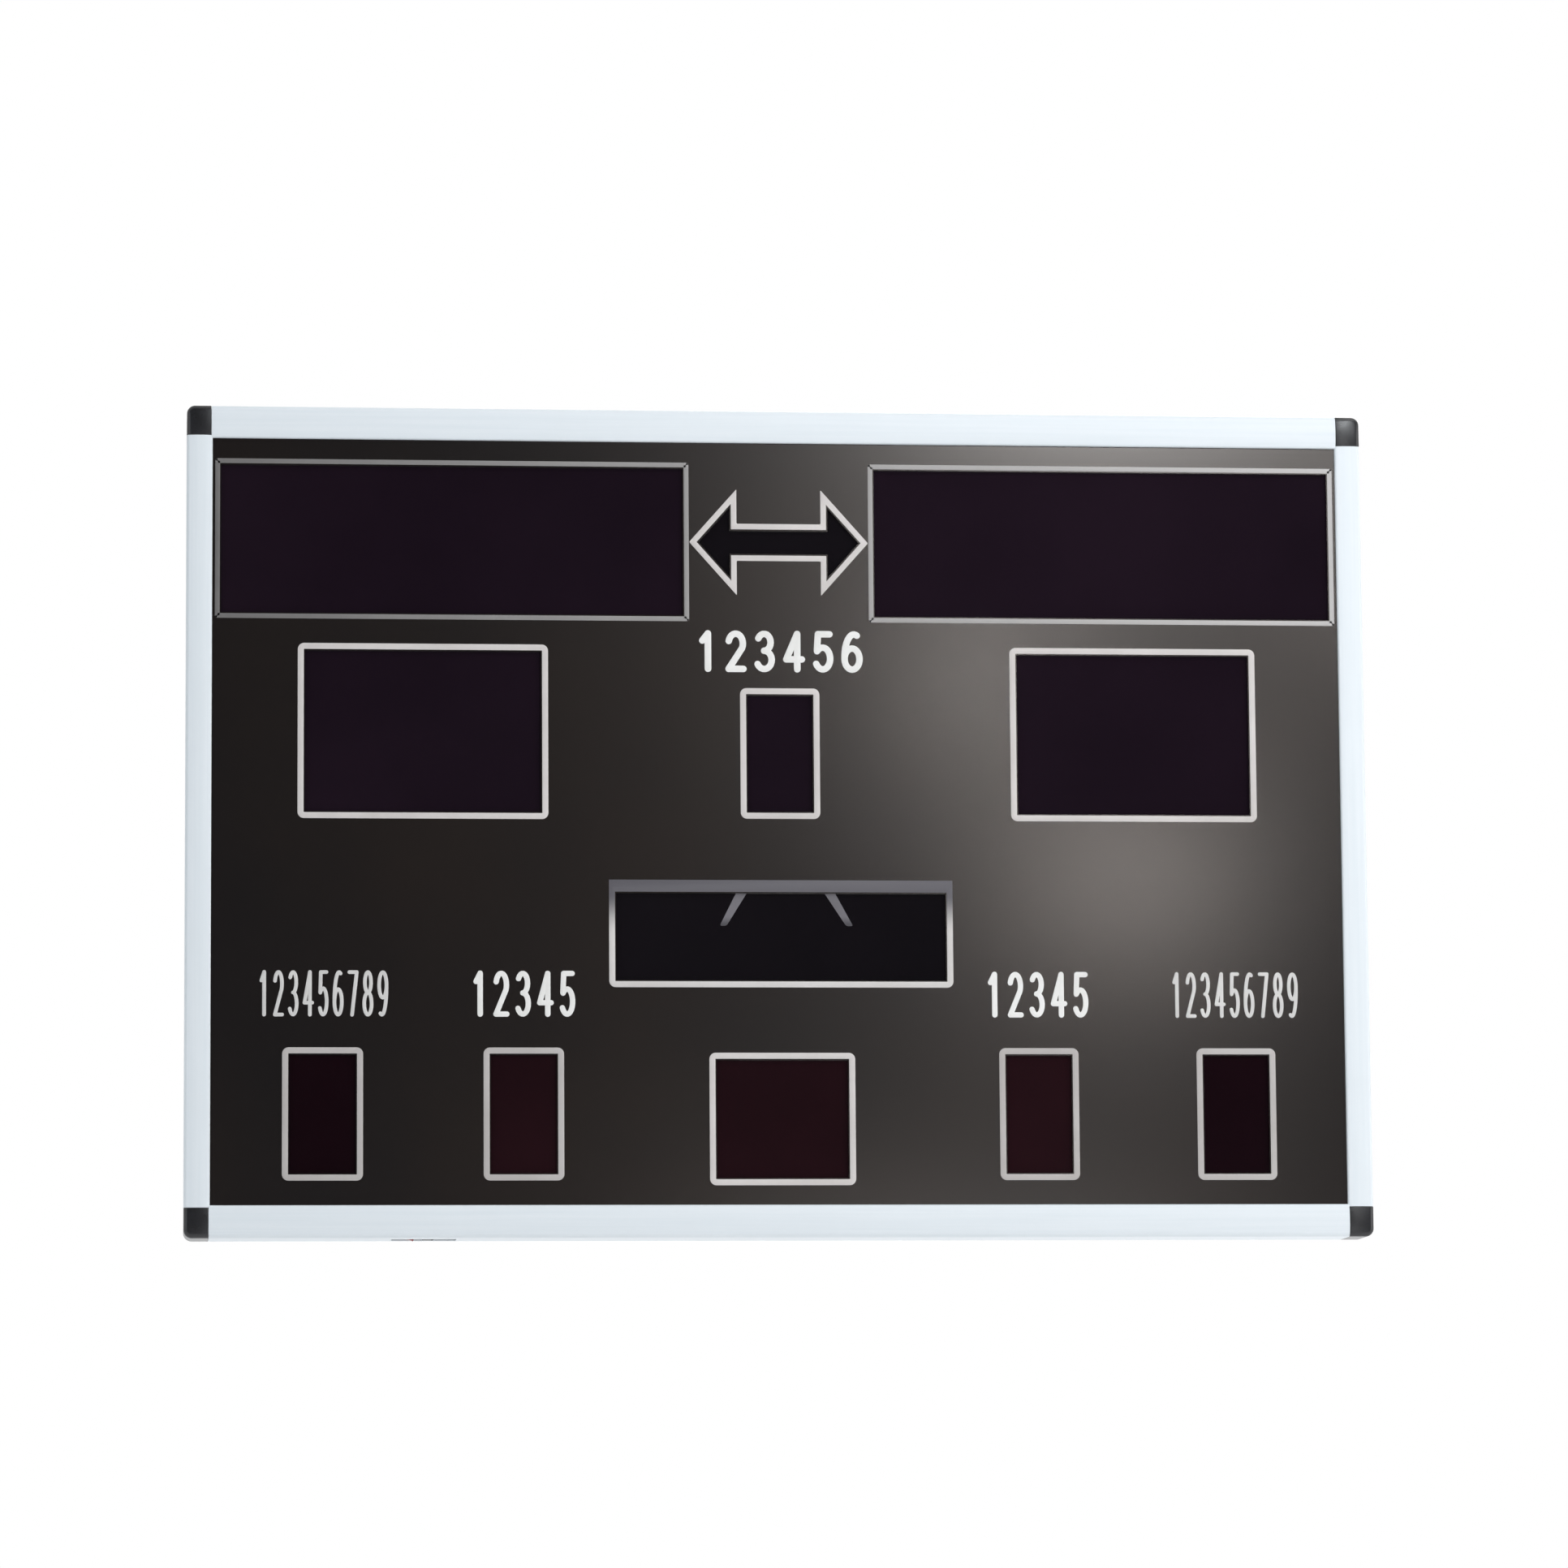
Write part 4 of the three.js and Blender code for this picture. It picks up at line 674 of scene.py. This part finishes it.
def makeArrowOutline():
    low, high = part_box("outline_arrow")
    middle = (low.z + high.z) / 2
    tip, base, head, shaft = arrow["tip"], arrow["headBase"], arrow["headHalf"], arrow["shaftHalf"]
    corners = [(tip, 0), (base, head), (base, shaft), (-base, shaft), (-base, head),
               (-tip, 0), (-base, -head), (-base, -shaft), (base, -shaft), (base, -head)]
    bpy.ops.mesh.primitive_circle_add(
        vertices=len(corners), radius=tip, fill_type="NGON", rotation=(math.pi / 2, 0, 0))
    obj = settle(newest("arrowLine"))
    edit(obj, "VERT")
    mesh = bmesh.from_edit_mesh(obj.data)
    ring = sorted(mesh.verts, key=lambda v: math.atan2(v.co.z, v.co.x) % (2 * math.pi))
    for vert, (x, z) in zip(ring, corners):
        vert.co = (x, lines["back"], middle + z)
    bmesh.update_edit_mesh(obj.data)
    bpy.ops.mesh.select_all(action="SELECT")
    bpy.ops.mesh.inset(thickness=arrow["stroke"], use_even_offset=True)
    pickWhere(obj, "FACE", lambda f: len(f.verts) > 4)
    bpy.ops.mesh.delete(type="FACE")
    thickenOutline(obj)

    def isOuterCorner(e):
        at = e.verts[0].co
        return runsBack(e) and any(
            near(at.x, x, reach["loose"]) and near(at.z, middle + z, reach["loose"]) for x, z in corners)

    pickWhere(obj, "EDGE", isOuterCorner)
    bevelPicked(arrow["round"], arrow["roundSteps"], "EDGES")
    finishOutline(obj, linePrint, "outline_arrow")


def makeOutlines():
    wide, outerRound = lines["stroke"], lines["outerRound"]
    for side in ("left", "right"):
        makeOutline(f"{side}NameLine", f"outline_name_{side}", lines["nameStroke"], lines["nameRound"],
                    nameLinePrintWithPaintedSheen)
        for name, node, material in (("Score", "score", linePrint), ("Fouls", "fouls", shadedLinePrint),
                                     ("TimeOuts", "time_outs", shadedLinePrint)):
            makeOutline(f"{side}{name}Line", f"outline_{node}_{side}", wide, outerRound, material)
    makeOutline("periodLine", "outline_period", wide, outerRound, linePrint)
    makeOutline("shotLine", "outline_shot", wide, outerRound, linePrint)
    makeOutline("clockLine", "outline_clock", wide, outerRound, clockLinePrint, squareTop=True)
    makeArrowOutline()


makeOutlines()
print("scoreboard: outlines made")


# Corner pieces: drawn at the top left corner, +X and -Z inward, then mirrored to the others

caps = {
    "front": -0.0676, "round": 0.0090, "roundSteps": 14, "frontRound": 0.0048, "frontSteps": 7,
    "seamRound": 0.0006, "seamSteps": 3, "notch": 0.0080, "overlap": 0.0005, "past": 0.002,
    "armLength": 0.0480, "barbs": 6, "barbDepth": 0.0012, "barbStep": 0.0002, "armRoot": 0.0015,
    "armTrim": 0.0006, "armFront": -0.0546, "armBack": -0.0141, "armEdge": 0.0021,
}


def makeArm(name, low, high, way):
    arm = addBlock(name, low, high)
    edit(arm)
    pickWhere(arm, "FACE", lambda f: f.normal.dot(Vector(way)) > reach["square"])
    pitch = caps["armLength"] / caps["barbs"]
    axis = 2 if way[0] else 0
    size = high[axis] - low[axis]
    squeeze = 1 - 2 * caps["barbDepth"] / size
    middle = middleOf(low, high)

    def pullOut(length, share):
        extrudeBy(*[w * length for w in way])
        bpy.ops.transform.resize(value=[share if i == axis else 1 for i in range(3)], center_override=middle)

    # each barb narrows slowly and widens at once, the last one only narrows
    for barb in range(caps["barbs"]):
        pullOut(pitch - caps["barbStep"], squeeze)
        if barb < caps["barbs"] - 1:
            pullOut(caps["barbStep"], 1 / squeeze)
    leave()
    return arm


def makeCornerBody(name, front, back, edge):
    b = bars
    body = addBlock(name, (edge, front, -b["capHeight"]), (b["capWidth"], back, -edge))
    atSide, atTop = edgeAt(0, edge), edgeAt(2, -edge)
    edit(body, "EDGE")
    pickWhere(body, "EDGE", lambda e: atSide(e) and atTop(e))
    bevelPicked(caps["round"] - edge, caps["roundSteps"], "EDGES")
    leave()
    return body


def makeCorner():
    b, past = bars, caps["past"]
    width, height = b["capWidth"], b["capHeight"]
    atFront, atRail, atStile = edgeAt(1, caps["front"]), edgeAt(0, width), edgeAt(2, -height)
    body = makeCornerBody("cornerBody", caps["front"], b["shoulder"], 0)
    edit(body, "EDGE")
    pickWhere(body, "EDGE", lambda e: atFront(e) and not atRail(e) and not atStile(e))
    bevelPicked(caps["frontRound"], caps["frontSteps"], "EDGES")
    leave()
    # the step at the back that the rear sheet lies in
    lip = makeCornerBody("cornerLip", b["shoulder"] - caps["overlap"], board["rear"], 0)
    hollow = makeCornerBody("cornerHollow", b["shoulder"], board["rear"] + past, b["lip"])
    grown = addBlock("cornerHollowEnds", (caps["round"], b["shoulder"], -height - past),
                     (width + past, board["rear"] + past, -caps["round"]))
    combine(hollow, grown, "UNION")
    combine(lip, hollow, "DIFFERENCE")
    # the notch that the face panel's corner fits into
    innerX, innerZ = b["stileWidth"], -b["railWidth"]
    notch = addBlock("cornerNotch", (innerX - caps["notch"], b["grooveFront"], innerZ - past),
                     (innerX + past, b["grooveBack"], innerZ + caps["notch"]))
    combine(body, notch, "DIFFERENCE")
    roundEdges(body, caps["seamRound"], caps["seamSteps"])
    armFront, armBack, armEdge = caps["armFront"], caps["armBack"], caps["armEdge"]
    alongRail = makeArm("armAlongRail", (width - caps["armRoot"], armFront, -height + caps["armTrim"]),
                        (width - b["gap"], armBack, -armEdge), (1, 0, 0))
    alongStile = makeArm("armAlongStile", (armEdge, armFront, -height + b["gap"]),
                         (width - caps["armTrim"], armBack, -height + caps["armRoot"]), (0, 0, -1))
    for part in (lip, alongRail, alongStile):
        combine(body, part, "UNION")
    for part in (lip, hollow, grown, notch, alongRail, alongStile):
        bpy.data.objects.remove(part)
    return body


def makeCorners():
    corner = makeCorner()
    for level, up in (("top", 1), ("bottom", -1)):
        for side, right in (("left", -1), ("right", 1)):
            piece = copyOf(corner, f"{side}{level.title()}Corner")
            piece.data.transform(Matrix.Diagonal((-right, 1, up, 1)))
            shiftMesh(piece, (right * board["halfWidth"], 0, board[level]))
            cleanUp(piece)
            dress(piece, cornerPlastic, replaced=[f"corner_{level}_{side}"])
    bpy.data.objects.remove(corner)


makeCorners()
print("scoreboard: corner pieces made")


# Numbers above the windows, drawn with one even stroke, and the two slanted strokes in the clock window

labels = {"back": -0.0620, "thickness": 0.00035, "digitShare": 0.79, "roundSides": 5, "endSteps": 5,
          "thinnest": 0.02, "smoothAngle": 40}
period = {"text": "123456", "width": 0.186, "bottom": -0.1350, "top": -0.0885, "stroke": 0.0074,
          "finish": numberPrint}
fouls = {"text": "12345", "width": 0.115, "bottom": -0.5155, "top": -0.4650, "stroke": 0.0060,
         "finish": numberPrint}
timeOuts = {"text": "123456789", "width": 0.142, "bottom": -0.5155, "top": -0.4650, "stroke": 0.0041,
            "finish": softNumberPrint}
numberMiddles = {
    "periodNumbers": (period, 0.0), "leftFoulNumbers": (fouls, -0.2827), "rightFoulNumbers": (fouls, 0.2812),
    "leftTimeOutNumbers": (timeOuts, -0.5000), "rightTimeOutNumbers": (timeOuts, 0.5000),
}


def arc(x, z, halfWide, halfTall, start, end, steps=14):
    turns = [math.radians(start + (end - start) * i / steps) for i in range(steps + 1)]
    return [(x + halfWide * math.cos(t), z + halfTall * math.sin(t)) for t in turns]


# Each number is a few strokes in a cell one wide and one tall
sixStrokes = [arc(0.5, 0.30, 0.46, 0.30, 180, -180, 28), arc(0.62, 0.34, 0.58, 0.66, 180, 72)]
digitStrokes = {
    "1": [[(0.24, 0.80), (0.58, 1.0)], [(0.58, 1.0), (0.58, 0.0)]],
    "2": [arc(0.5, 0.72, 0.44, 0.28, 165, -28) + [(0.06, 0.0)], [(0.06, 0.0), (0.96, 0.0)]],
    "3": [arc(0.46, 0.76, 0.40, 0.24, 152, -90), arc(0.46, 0.26, 0.46, 0.26, 90, -152)],
    "4": [[(0.70, 0.0), (0.70, 1.0)], [(0.70, 1.0), (0.03, 0.28)], [(0.03, 0.28), (0.98, 0.28)]],
    "5": [[(0.90, 1.0), (0.20, 1.0)], [(0.20, 1.0), (0.13, 0.53)],
          arc(0.48, 0.31, 0.46, 0.31, 138, -150, 22)],
    "6": sixStrokes,
    "7": [[(0.04, 1.0), (0.96, 1.0)], [(0.96, 1.0), (0.38, 0.0)]],
    "8": [arc(0.5, 0.76, 0.38, 0.24, 90, -270, 26), arc(0.5, 0.26, 0.46, 0.26, 90, -270, 28)],
    "9": [[(1 - x, 1 - z) for x, z in stroke] for stroke in sixStrokes],
}


# A stroke's ends are rounded off by a few more points, ever thinner
def roundedStroke(points, half):
    steps = labels["endSteps"]
    turns = [math.pi / 2 * i / steps for i in range(1, steps + 1)]
    path = [(point, 1.0) for point in points]
    for tip, beside, atStart in ((points[0], points[1], True), (points[-1], points[-2], False)):
        away = (Vector(tip) - Vector(beside)).normalized() * half
        ends = [(tuple(Vector(tip) + away * math.sin(t)), max(math.cos(t), labels["thinnest"]))
                for t in turns]
        path = ends[::-1] + path if atStart else path + ends
    return path


def makeNumbers(name, label, middle):
    half = label["stroke"] / 2
    count = len(label["text"])
    pitch = label["width"] / (count - 1 + labels["digitShare"])
    wide = pitch * labels["digitShare"] - label["stroke"]
    tall = label["top"] - label["bottom"] - label["stroke"]
    data = bpy.data.curves.new(name, "CURVE")
    data.dimensions = "3D"
    data.bevel_depth = half
    data.bevel_resolution = labels["roundSides"]
    data.use_fill_caps = True
    for i, digit in enumerate(label["text"]):
        left = middle - label["width"] / 2 + half + i * pitch
        for stroke in digitStrokes[digit]:
            points = [(left + x * wide, label["bottom"] + half + z * tall) for x, z in stroke]
            path = roundedStroke(points, half)
            spline = data.splines.new("POLY")
            spline.points.add(len(path) - 1)
            for point, ((x, z), share) in zip(spline.points, path):
                point.co = (x, labels["back"], z, 1)
                point.radius = share
    obj = bpy.data.objects.new(name, data)
    bpy.context.collection.objects.link(obj)
    pickOnly(obj)
    bpy.ops.object.convert(target="MESH")
    obj = newest(name)
    # flattened to the thickness of paint, with a flat back
    onPanel = (0, labels["back"], 0)
    editAll(obj)
    bpy.ops.transform.resize(value=(1, labels["thickness"] / half, 1), center_override=onPanel)
    pickWhere(obj, "VERT", lambda v: v.co.y > labels["back"])
    bpy.ops.transform.resize(value=(1, 0, 1), center_override=onPanel)
    leave()
    cleanUp(obj, labels["smoothAngle"])
    dress(obj, label["finish"])


strokes = {
    "front": -0.05905, "back": -0.05895, "top": -0.3779, "bottom": -0.4150, "round": 0.0022, "roundSteps": 4,
    "left": {"topEdges": (-0.0489, -0.0369), "bottomEdges": (-0.0675, -0.0600)},
    "right": {"topEdges": (0.0473, 0.0591), "bottomEdges": (0.0717, 0.0793)},
}


def makeStroke(side):
    stroke = strokes[side]
    left, right = stroke["topEdges"]
    obj = addSheet(f"{side}ClockStroke", left, right, strokes["bottom"], strokes["top"], strokes["back"])
    middleZ = (strokes["top"] + strokes["bottom"]) / 2
    edit(obj, "VERT")
    for source, target in zip(stroke["topEdges"], stroke["bottomEdges"]):
        pickWhere(obj, "VERT", lambda v: v.co.z < middleZ and near(v.co.x, source, reach["loose"]))
        bpy.ops.transform.translate(value=(target - source, 0, 0))
    pickWhere(obj, "VERT", lambda v: v.co.z < middleZ)
    bevelPicked(strokes["round"], strokes["roundSteps"], "VERTICES")
    bpy.ops.mesh.select_all(action="SELECT")
    extrudeBy(0, strokes["front"] - strokes["back"], 0)
    leave()
    cleanUp(obj)
    dress(obj, clockStrokeGrey)


for name, (label, middle) in numberMiddles.items():
    makeNumbers(name, label, middle)
makeStroke("left")
makeStroke("right")
print("scoreboard: numbers and strokes made")


# Back: sheet with vent slots, its screws, the hanging rail with its bolts, and the bumpers

rear = {
    "edge": 0.0023, "front": -0.0117, "back": -0.0102, "corner": 0.0072, "cornerSteps": 10,
    "edgeRound": 0.0003, "slotLength": 0.046, "slotHeight": 0.005, "slotPitch": 0.012, "slotRows": 7,
    "slotRound": 0.98, "slotSteps": 5, "slotPast": 0.004, "ventX": 0.545, "ventTop": -0.025,
    "ventBottom": -0.575, "hornRadius": 0.042, "hornRows": 5, "hornTrim": 0.012, "smoothAngle": 12,
    "screwInset": 0.009, "screwsAcross": 6, "screwsUp": 4, "screwRadius": 0.0035, "screwHeight": 0.0015,
    "screwLift": 0.00005,
}


def spreadOut(count, low, high):
    return [low + (high - low) * i / (count - 1) for i in range(count)]


def makeSlotCutter(name, x, z, length):
    half = rear["slotHeight"] / 2
    cutter = addBlock(name, (x - length / 2, rear["front"] - rear["slotPast"], z - half),
                      (x + length / 2, rear["back"] + rear["slotPast"], z + half))
    edit(cutter, "EDGE")
    pickWhere(cutter, "EDGE", runsBack)
    bevelPicked(half * rear["slotRound"], rear["slotSteps"], "EDGES")
    leave()
    return cutter


def makeRearSheet():
    r = rear
    right = board["halfWidth"] - r["edge"]
    low, high = board["bottom"] + r["edge"], board["top"] - r["edge"]
    sheet = addBlock("rearSheet", (-right, r["front"], low), (right, r["back"], high))
    edit(sheet, "EDGE")
    pickWhere(sheet, "EDGE", runsBack)
    bevelPicked(r["corner"], r["cornerSteps"], "EDGES")
    leave()
    cutters = []
    for x in (-r["ventX"], r["ventX"]):
        for z in (r["ventTop"], r["ventBottom"]):
            half = (r["slotRows"] - 1) * r["slotPitch"] / 2
            for row in spreadOut(r["slotRows"], z - half, z + half):
                cutters.append(makeSlotCutter("ventCutter", x, row, r["slotLength"]))
    hornLow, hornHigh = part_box("horn")
    hornX, hornZ = (hornLow.x + hornHigh.x) / 2, (hornLow.z + hornHigh.z) / 2
    lastRow = r["hornRadius"] - r["hornTrim"]
    for row in spreadOut(r["hornRows"], -lastRow, lastRow):
        chord = 2 * math.sqrt(r["hornRadius"] ** 2 - row ** 2) - r["hornTrim"]
        cutters.append(makeSlotCutter("hornCutter", hornX, hornZ + row, chord))
    comb = joinAll("slotCutters", cutters)
    combine(sheet, comb, "DIFFERENCE")
    bpy.data.objects.remove(comb)
    roundEdges(sheet, r["edgeRound"])
    cleanUp(sheet, r["smoothAngle"])
    dress(sheet, backCoat, replaced=["back_panel"])


screwHead = {"sides": 28, "rimAt": 0.9, "round": 0.75, "roundSteps": 5, "crossLength": 0.0042,
             "crossWidth": 0.0009, "crossDepth": 0.0009}


# A pan head screw pointing back, with a cross recess
def makeScrew(name, radius, height, back):
    screw = addDisc(name, radius, height, (0, back + height / 2, 0), screwHead["sides"])
    edit(screw, "EDGE")
    pickWhere(screw, "EDGE", lambda e: all(v.co.y > back + height * screwHead["rimAt"] for v in e.verts))
    bevelPicked(height * screwHead["round"], screwHead["roundSteps"], "EDGES")
    leave()
    top = back + height
    long, wide, deep = screwHead["crossLength"] / 2, screwHead["crossWidth"] / 2, screwHead["crossDepth"]
    across = addBlock("crossAcross", (-long, top - deep, -wide), (long, top + deep, wide))
    up = addBlock("crossUp", (-wide, top - deep, -long), (wide, top + deep, long))
    for bar in (across, up):
        combine(screw, bar, "DIFFERENCE")
        bpy.data.objects.remove(bar)
    return screw


def makeRearScrews():
    r = rear
    right = board["halfWidth"] - r["edge"] - r["screwInset"]
    low = board["bottom"] + r["edge"] + r["screwInset"]
    high = board["top"] - r["edge"] - r["screwInset"]
    places = [(x, z) for x in spreadOut(r["screwsAcross"], -right, right) for z in (low, high)]
    places += [(x, z) for z in spreadOut(r["screwsUp"], low, high)[1:-1] for x in (-right, right)]
    screw = makeScrew("screw", r["screwRadius"], r["screwHeight"], r["back"] + r["screwLift"])
    heads = [shiftMesh(copyOf(screw, "rearScrew"), (x, 0, z)) for x, z in places]
    bpy.data.objects.remove(screw)
    screws = joinAll("rearScrews", heads)
    cleanUp(screws)
    dress(screws, railZinc)


hanging = {
    "halfLength": 0.450, "sheet": 0.0020, "flangeY": -0.0089, "wallY": -0.0010, "stepZ": 0.0120,
    "flangeTop": 0.0430, "lipBottom": -0.0130, "bend": 0.0024, "bendSteps": 5, "edgeRound": 0.0003,
    "bolts": 6, "boltInset": 0.060, "boltZ": 0.0280, "boltRadius": 0.0050, "boltHeight": 0.0028,
    "boltSides": 6, "boltRound": 0.0004, "boltAngle": 40, "washerRadius": 0.0068, "washerThickness": 0.0009,
    "washerRound": 0.0002, "markRadius": 0.0024, "markHeight": 0.0004, "markLift": 0.0001, "markSides": 20,
}


def makeHangingRail():
    h = hanging
    half, atStep = h["halfLength"], edgeAt(2, h["stepZ"])
    profile = addSheet("hangingProfile", -half, half, h["stepZ"], h["flangeTop"], h["flangeY"])
    # the sheet is folded to the wall and down, and its two bends are rounded
    edit(profile, "EDGE")
    pickWhere(profile, "EDGE", atStep)
    extrudeBy(0, h["wallY"] - h["flangeY"], 0)
    extrudeBy(0, 0, h["lipBottom"] - h["stepZ"])
    pickWhere(profile, "EDGE", lambda e: atStep(e) and abs(e.verts[0].co.x - e.verts[1].co.x) > half)
    bevelPicked(h["bend"], h["bendSteps"], "EDGES")
    bpy.ops.mesh.select_all(action="SELECT")
    bpy.ops.mesh.normals_make_consistent(inside=False)
    leave()
    modify(profile, "SOLIDIFY", thickness=h["sheet"], offset=0)
    roundEdges(profile, h["edgeRound"])
    cleanUp(profile)
    dress(profile, railZinc, replaced=["hanging_rail"])


# A hexagon bolt on a washer, with a round mark on its head
def makeHangingBolts():
    h = hanging
    flangeBack = h["flangeY"] + h["sheet"] / 2
    thick, high = h["washerThickness"], h["boltHeight"]
    washer = addDisc("washer", h["washerRadius"], thick, (0, flangeBack + thick / 2, 0))
    roundEdges(washer, h["washerRound"])
    head = addDisc("boltHead", h["boltRadius"], high, (0, flangeBack + thick + high / 2, 0), h["boltSides"])
    roundEdges(head, h["boltRound"], angle=h["boltAngle"])
    mark = addDisc("boltMark", h["markRadius"], h["markHeight"],
                   (0, flangeBack + thick + high + h["markLift"], 0), h["markSides"])
    bolt = joinAll("bolt", [head, washer, mark])
    last = h["halfLength"] - h["boltInset"]
    row = [shiftMesh(copyOf(bolt, "hangingBolt"), (x, 0, h["boltZ"]))
           for x in spreadOut(h["bolts"], -last, last)]
    bpy.data.objects.remove(bolt)
    bolts = joinAll("hangingBolts", row)
    cleanUp(bolts)
    dress(bolts, railZinc)


bumper = {"radius": 0.0160, "tip": 0.0130, "back": 0.0, "front": -0.0099, "sides": 64, "recess": 0.0052,
          "recessDepth": 0.0040, "round": 0.0011, "roundSteps": 4, "roundAngle": 40, "smoothAngle": 45,
          "screwShare": 0.8, "screwHeight": 0.0016}


def makeBumper(side):
    low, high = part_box(f"bumper_{side}")
    x, z = (low.x + high.x) / 2, (low.z + high.z) / 2
    pad = addDisc(f"{side}Bumper", bumper["radius"], bumper["back"] - bumper["front"],
                  (x, (bumper["front"] + bumper["back"]) / 2, z), bumper["sides"])
    # the pad narrows towards the wall and has a recess for its screw
    edit(pad)
    pickWhere(pad, "FACE", lambda f: f.normal.y > reach["square"])
    share = bumper["tip"] / bumper["radius"]
    bpy.ops.transform.resize(value=(share, 1, share), center_override=(x, bumper["back"], z))
    bpy.ops.mesh.inset(thickness=bumper["tip"] - bumper["recess"])
    extrudeBy(0, -bumper["recessDepth"], 0)
    leave()
    roundEdges(pad, bumper["round"], bumper["roundSteps"], bumper["roundAngle"])
    cleanUp(pad, bumper["smoothAngle"])
    dress(pad, rubberBlack, replaced=[f"bumper_{side}"])
    screw = makeScrew("padScrew", bumper["recess"] * bumper["screwShare"], bumper["screwHeight"],
                      bumper["back"] - bumper["recessDepth"])
    shiftMesh(screw, (x, 0, z))
    screw.name = f"{side}BumperScrew"
    cleanUp(screw)
    dress(screw, railZinc)


makeRearSheet()
makeRearScrews()
makeHangingRail()
makeHangingBolts()
makeBumper("left")
makeBumper("right")
print("scoreboard: back made")


# Mains inlet: its CAD pieces with their edges rounded

inlet = {"shellRound": 0.00025, "trayRound": 0.0003, "rockerRound": 0.0003, "roundAngle": 40, "flatWithin": 2}


def roundedCopy(node, name, width, material, body):
    source = nodes[node]
    piece = source.copy()
    piece.data = source.data.copy()
    piece.parent = None
    piece.matrix_world = Matrix.Identity(4)
    piece.name = name
    piece.data.name = name
    bpy.context.collection.objects.link(piece)
    editAll(piece)
    bpy.ops.mesh.remove_doubles(threshold=reach["merge"])
    bpy.ops.mesh.dissolve_limited(angle_limit=math.radians(inlet["flatWithin"]))
    leave()
    roundEdges(piece, width, angle=inlet["roundAngle"])
    cleanUp(piece)
    dress(piece, material, body, [node])


roundedCopy("inlet_housing", "inletShell", inlet["shellRound"], inletBlack, "case")
roundedCopy("fuse_drawer", "fuseTray", inlet["trayRound"], inletBlack, "fuse_drawer")
roundedCopy("rocker", "powerRocker", inlet["rockerRound"], rockerRed, "rocker")
print("scoreboard: inlet made")


# Carried-over CAD nodes get their finishes

def coverNode(name, material):
    obj = nodes[name]
    for slot in obj.material_slots:
        slot.material = material


pairedPanes = {"name": paneViolet, "score": paneViolet, "fouls": paneRed, "time_outs": paneDeepRed}
singlePanes = {"period": paneViolet, "clock": paneGrey, "shot": paneRed, "arrow": paneGrey}
panes = {f"{window}_{side}": material
         for side in ("left", "right") for window, material in pairedPanes.items()}
for window, material in {**panes, **singlePanes}.items():
    coverNode(f"pane_{window}", material)
    coverNode(f"display_{window}", displayBlack)
for node, material in {"face_panel": panelPrint, "power_supply": supplySteel, "controller_board": boardGreen,
                       "horn": displayBlack, "mains_lead": leadBlack, "supply_lead": leadBlack}.items():
    coverNode(node, material)
print("scoreboard: CAD nodes finished")
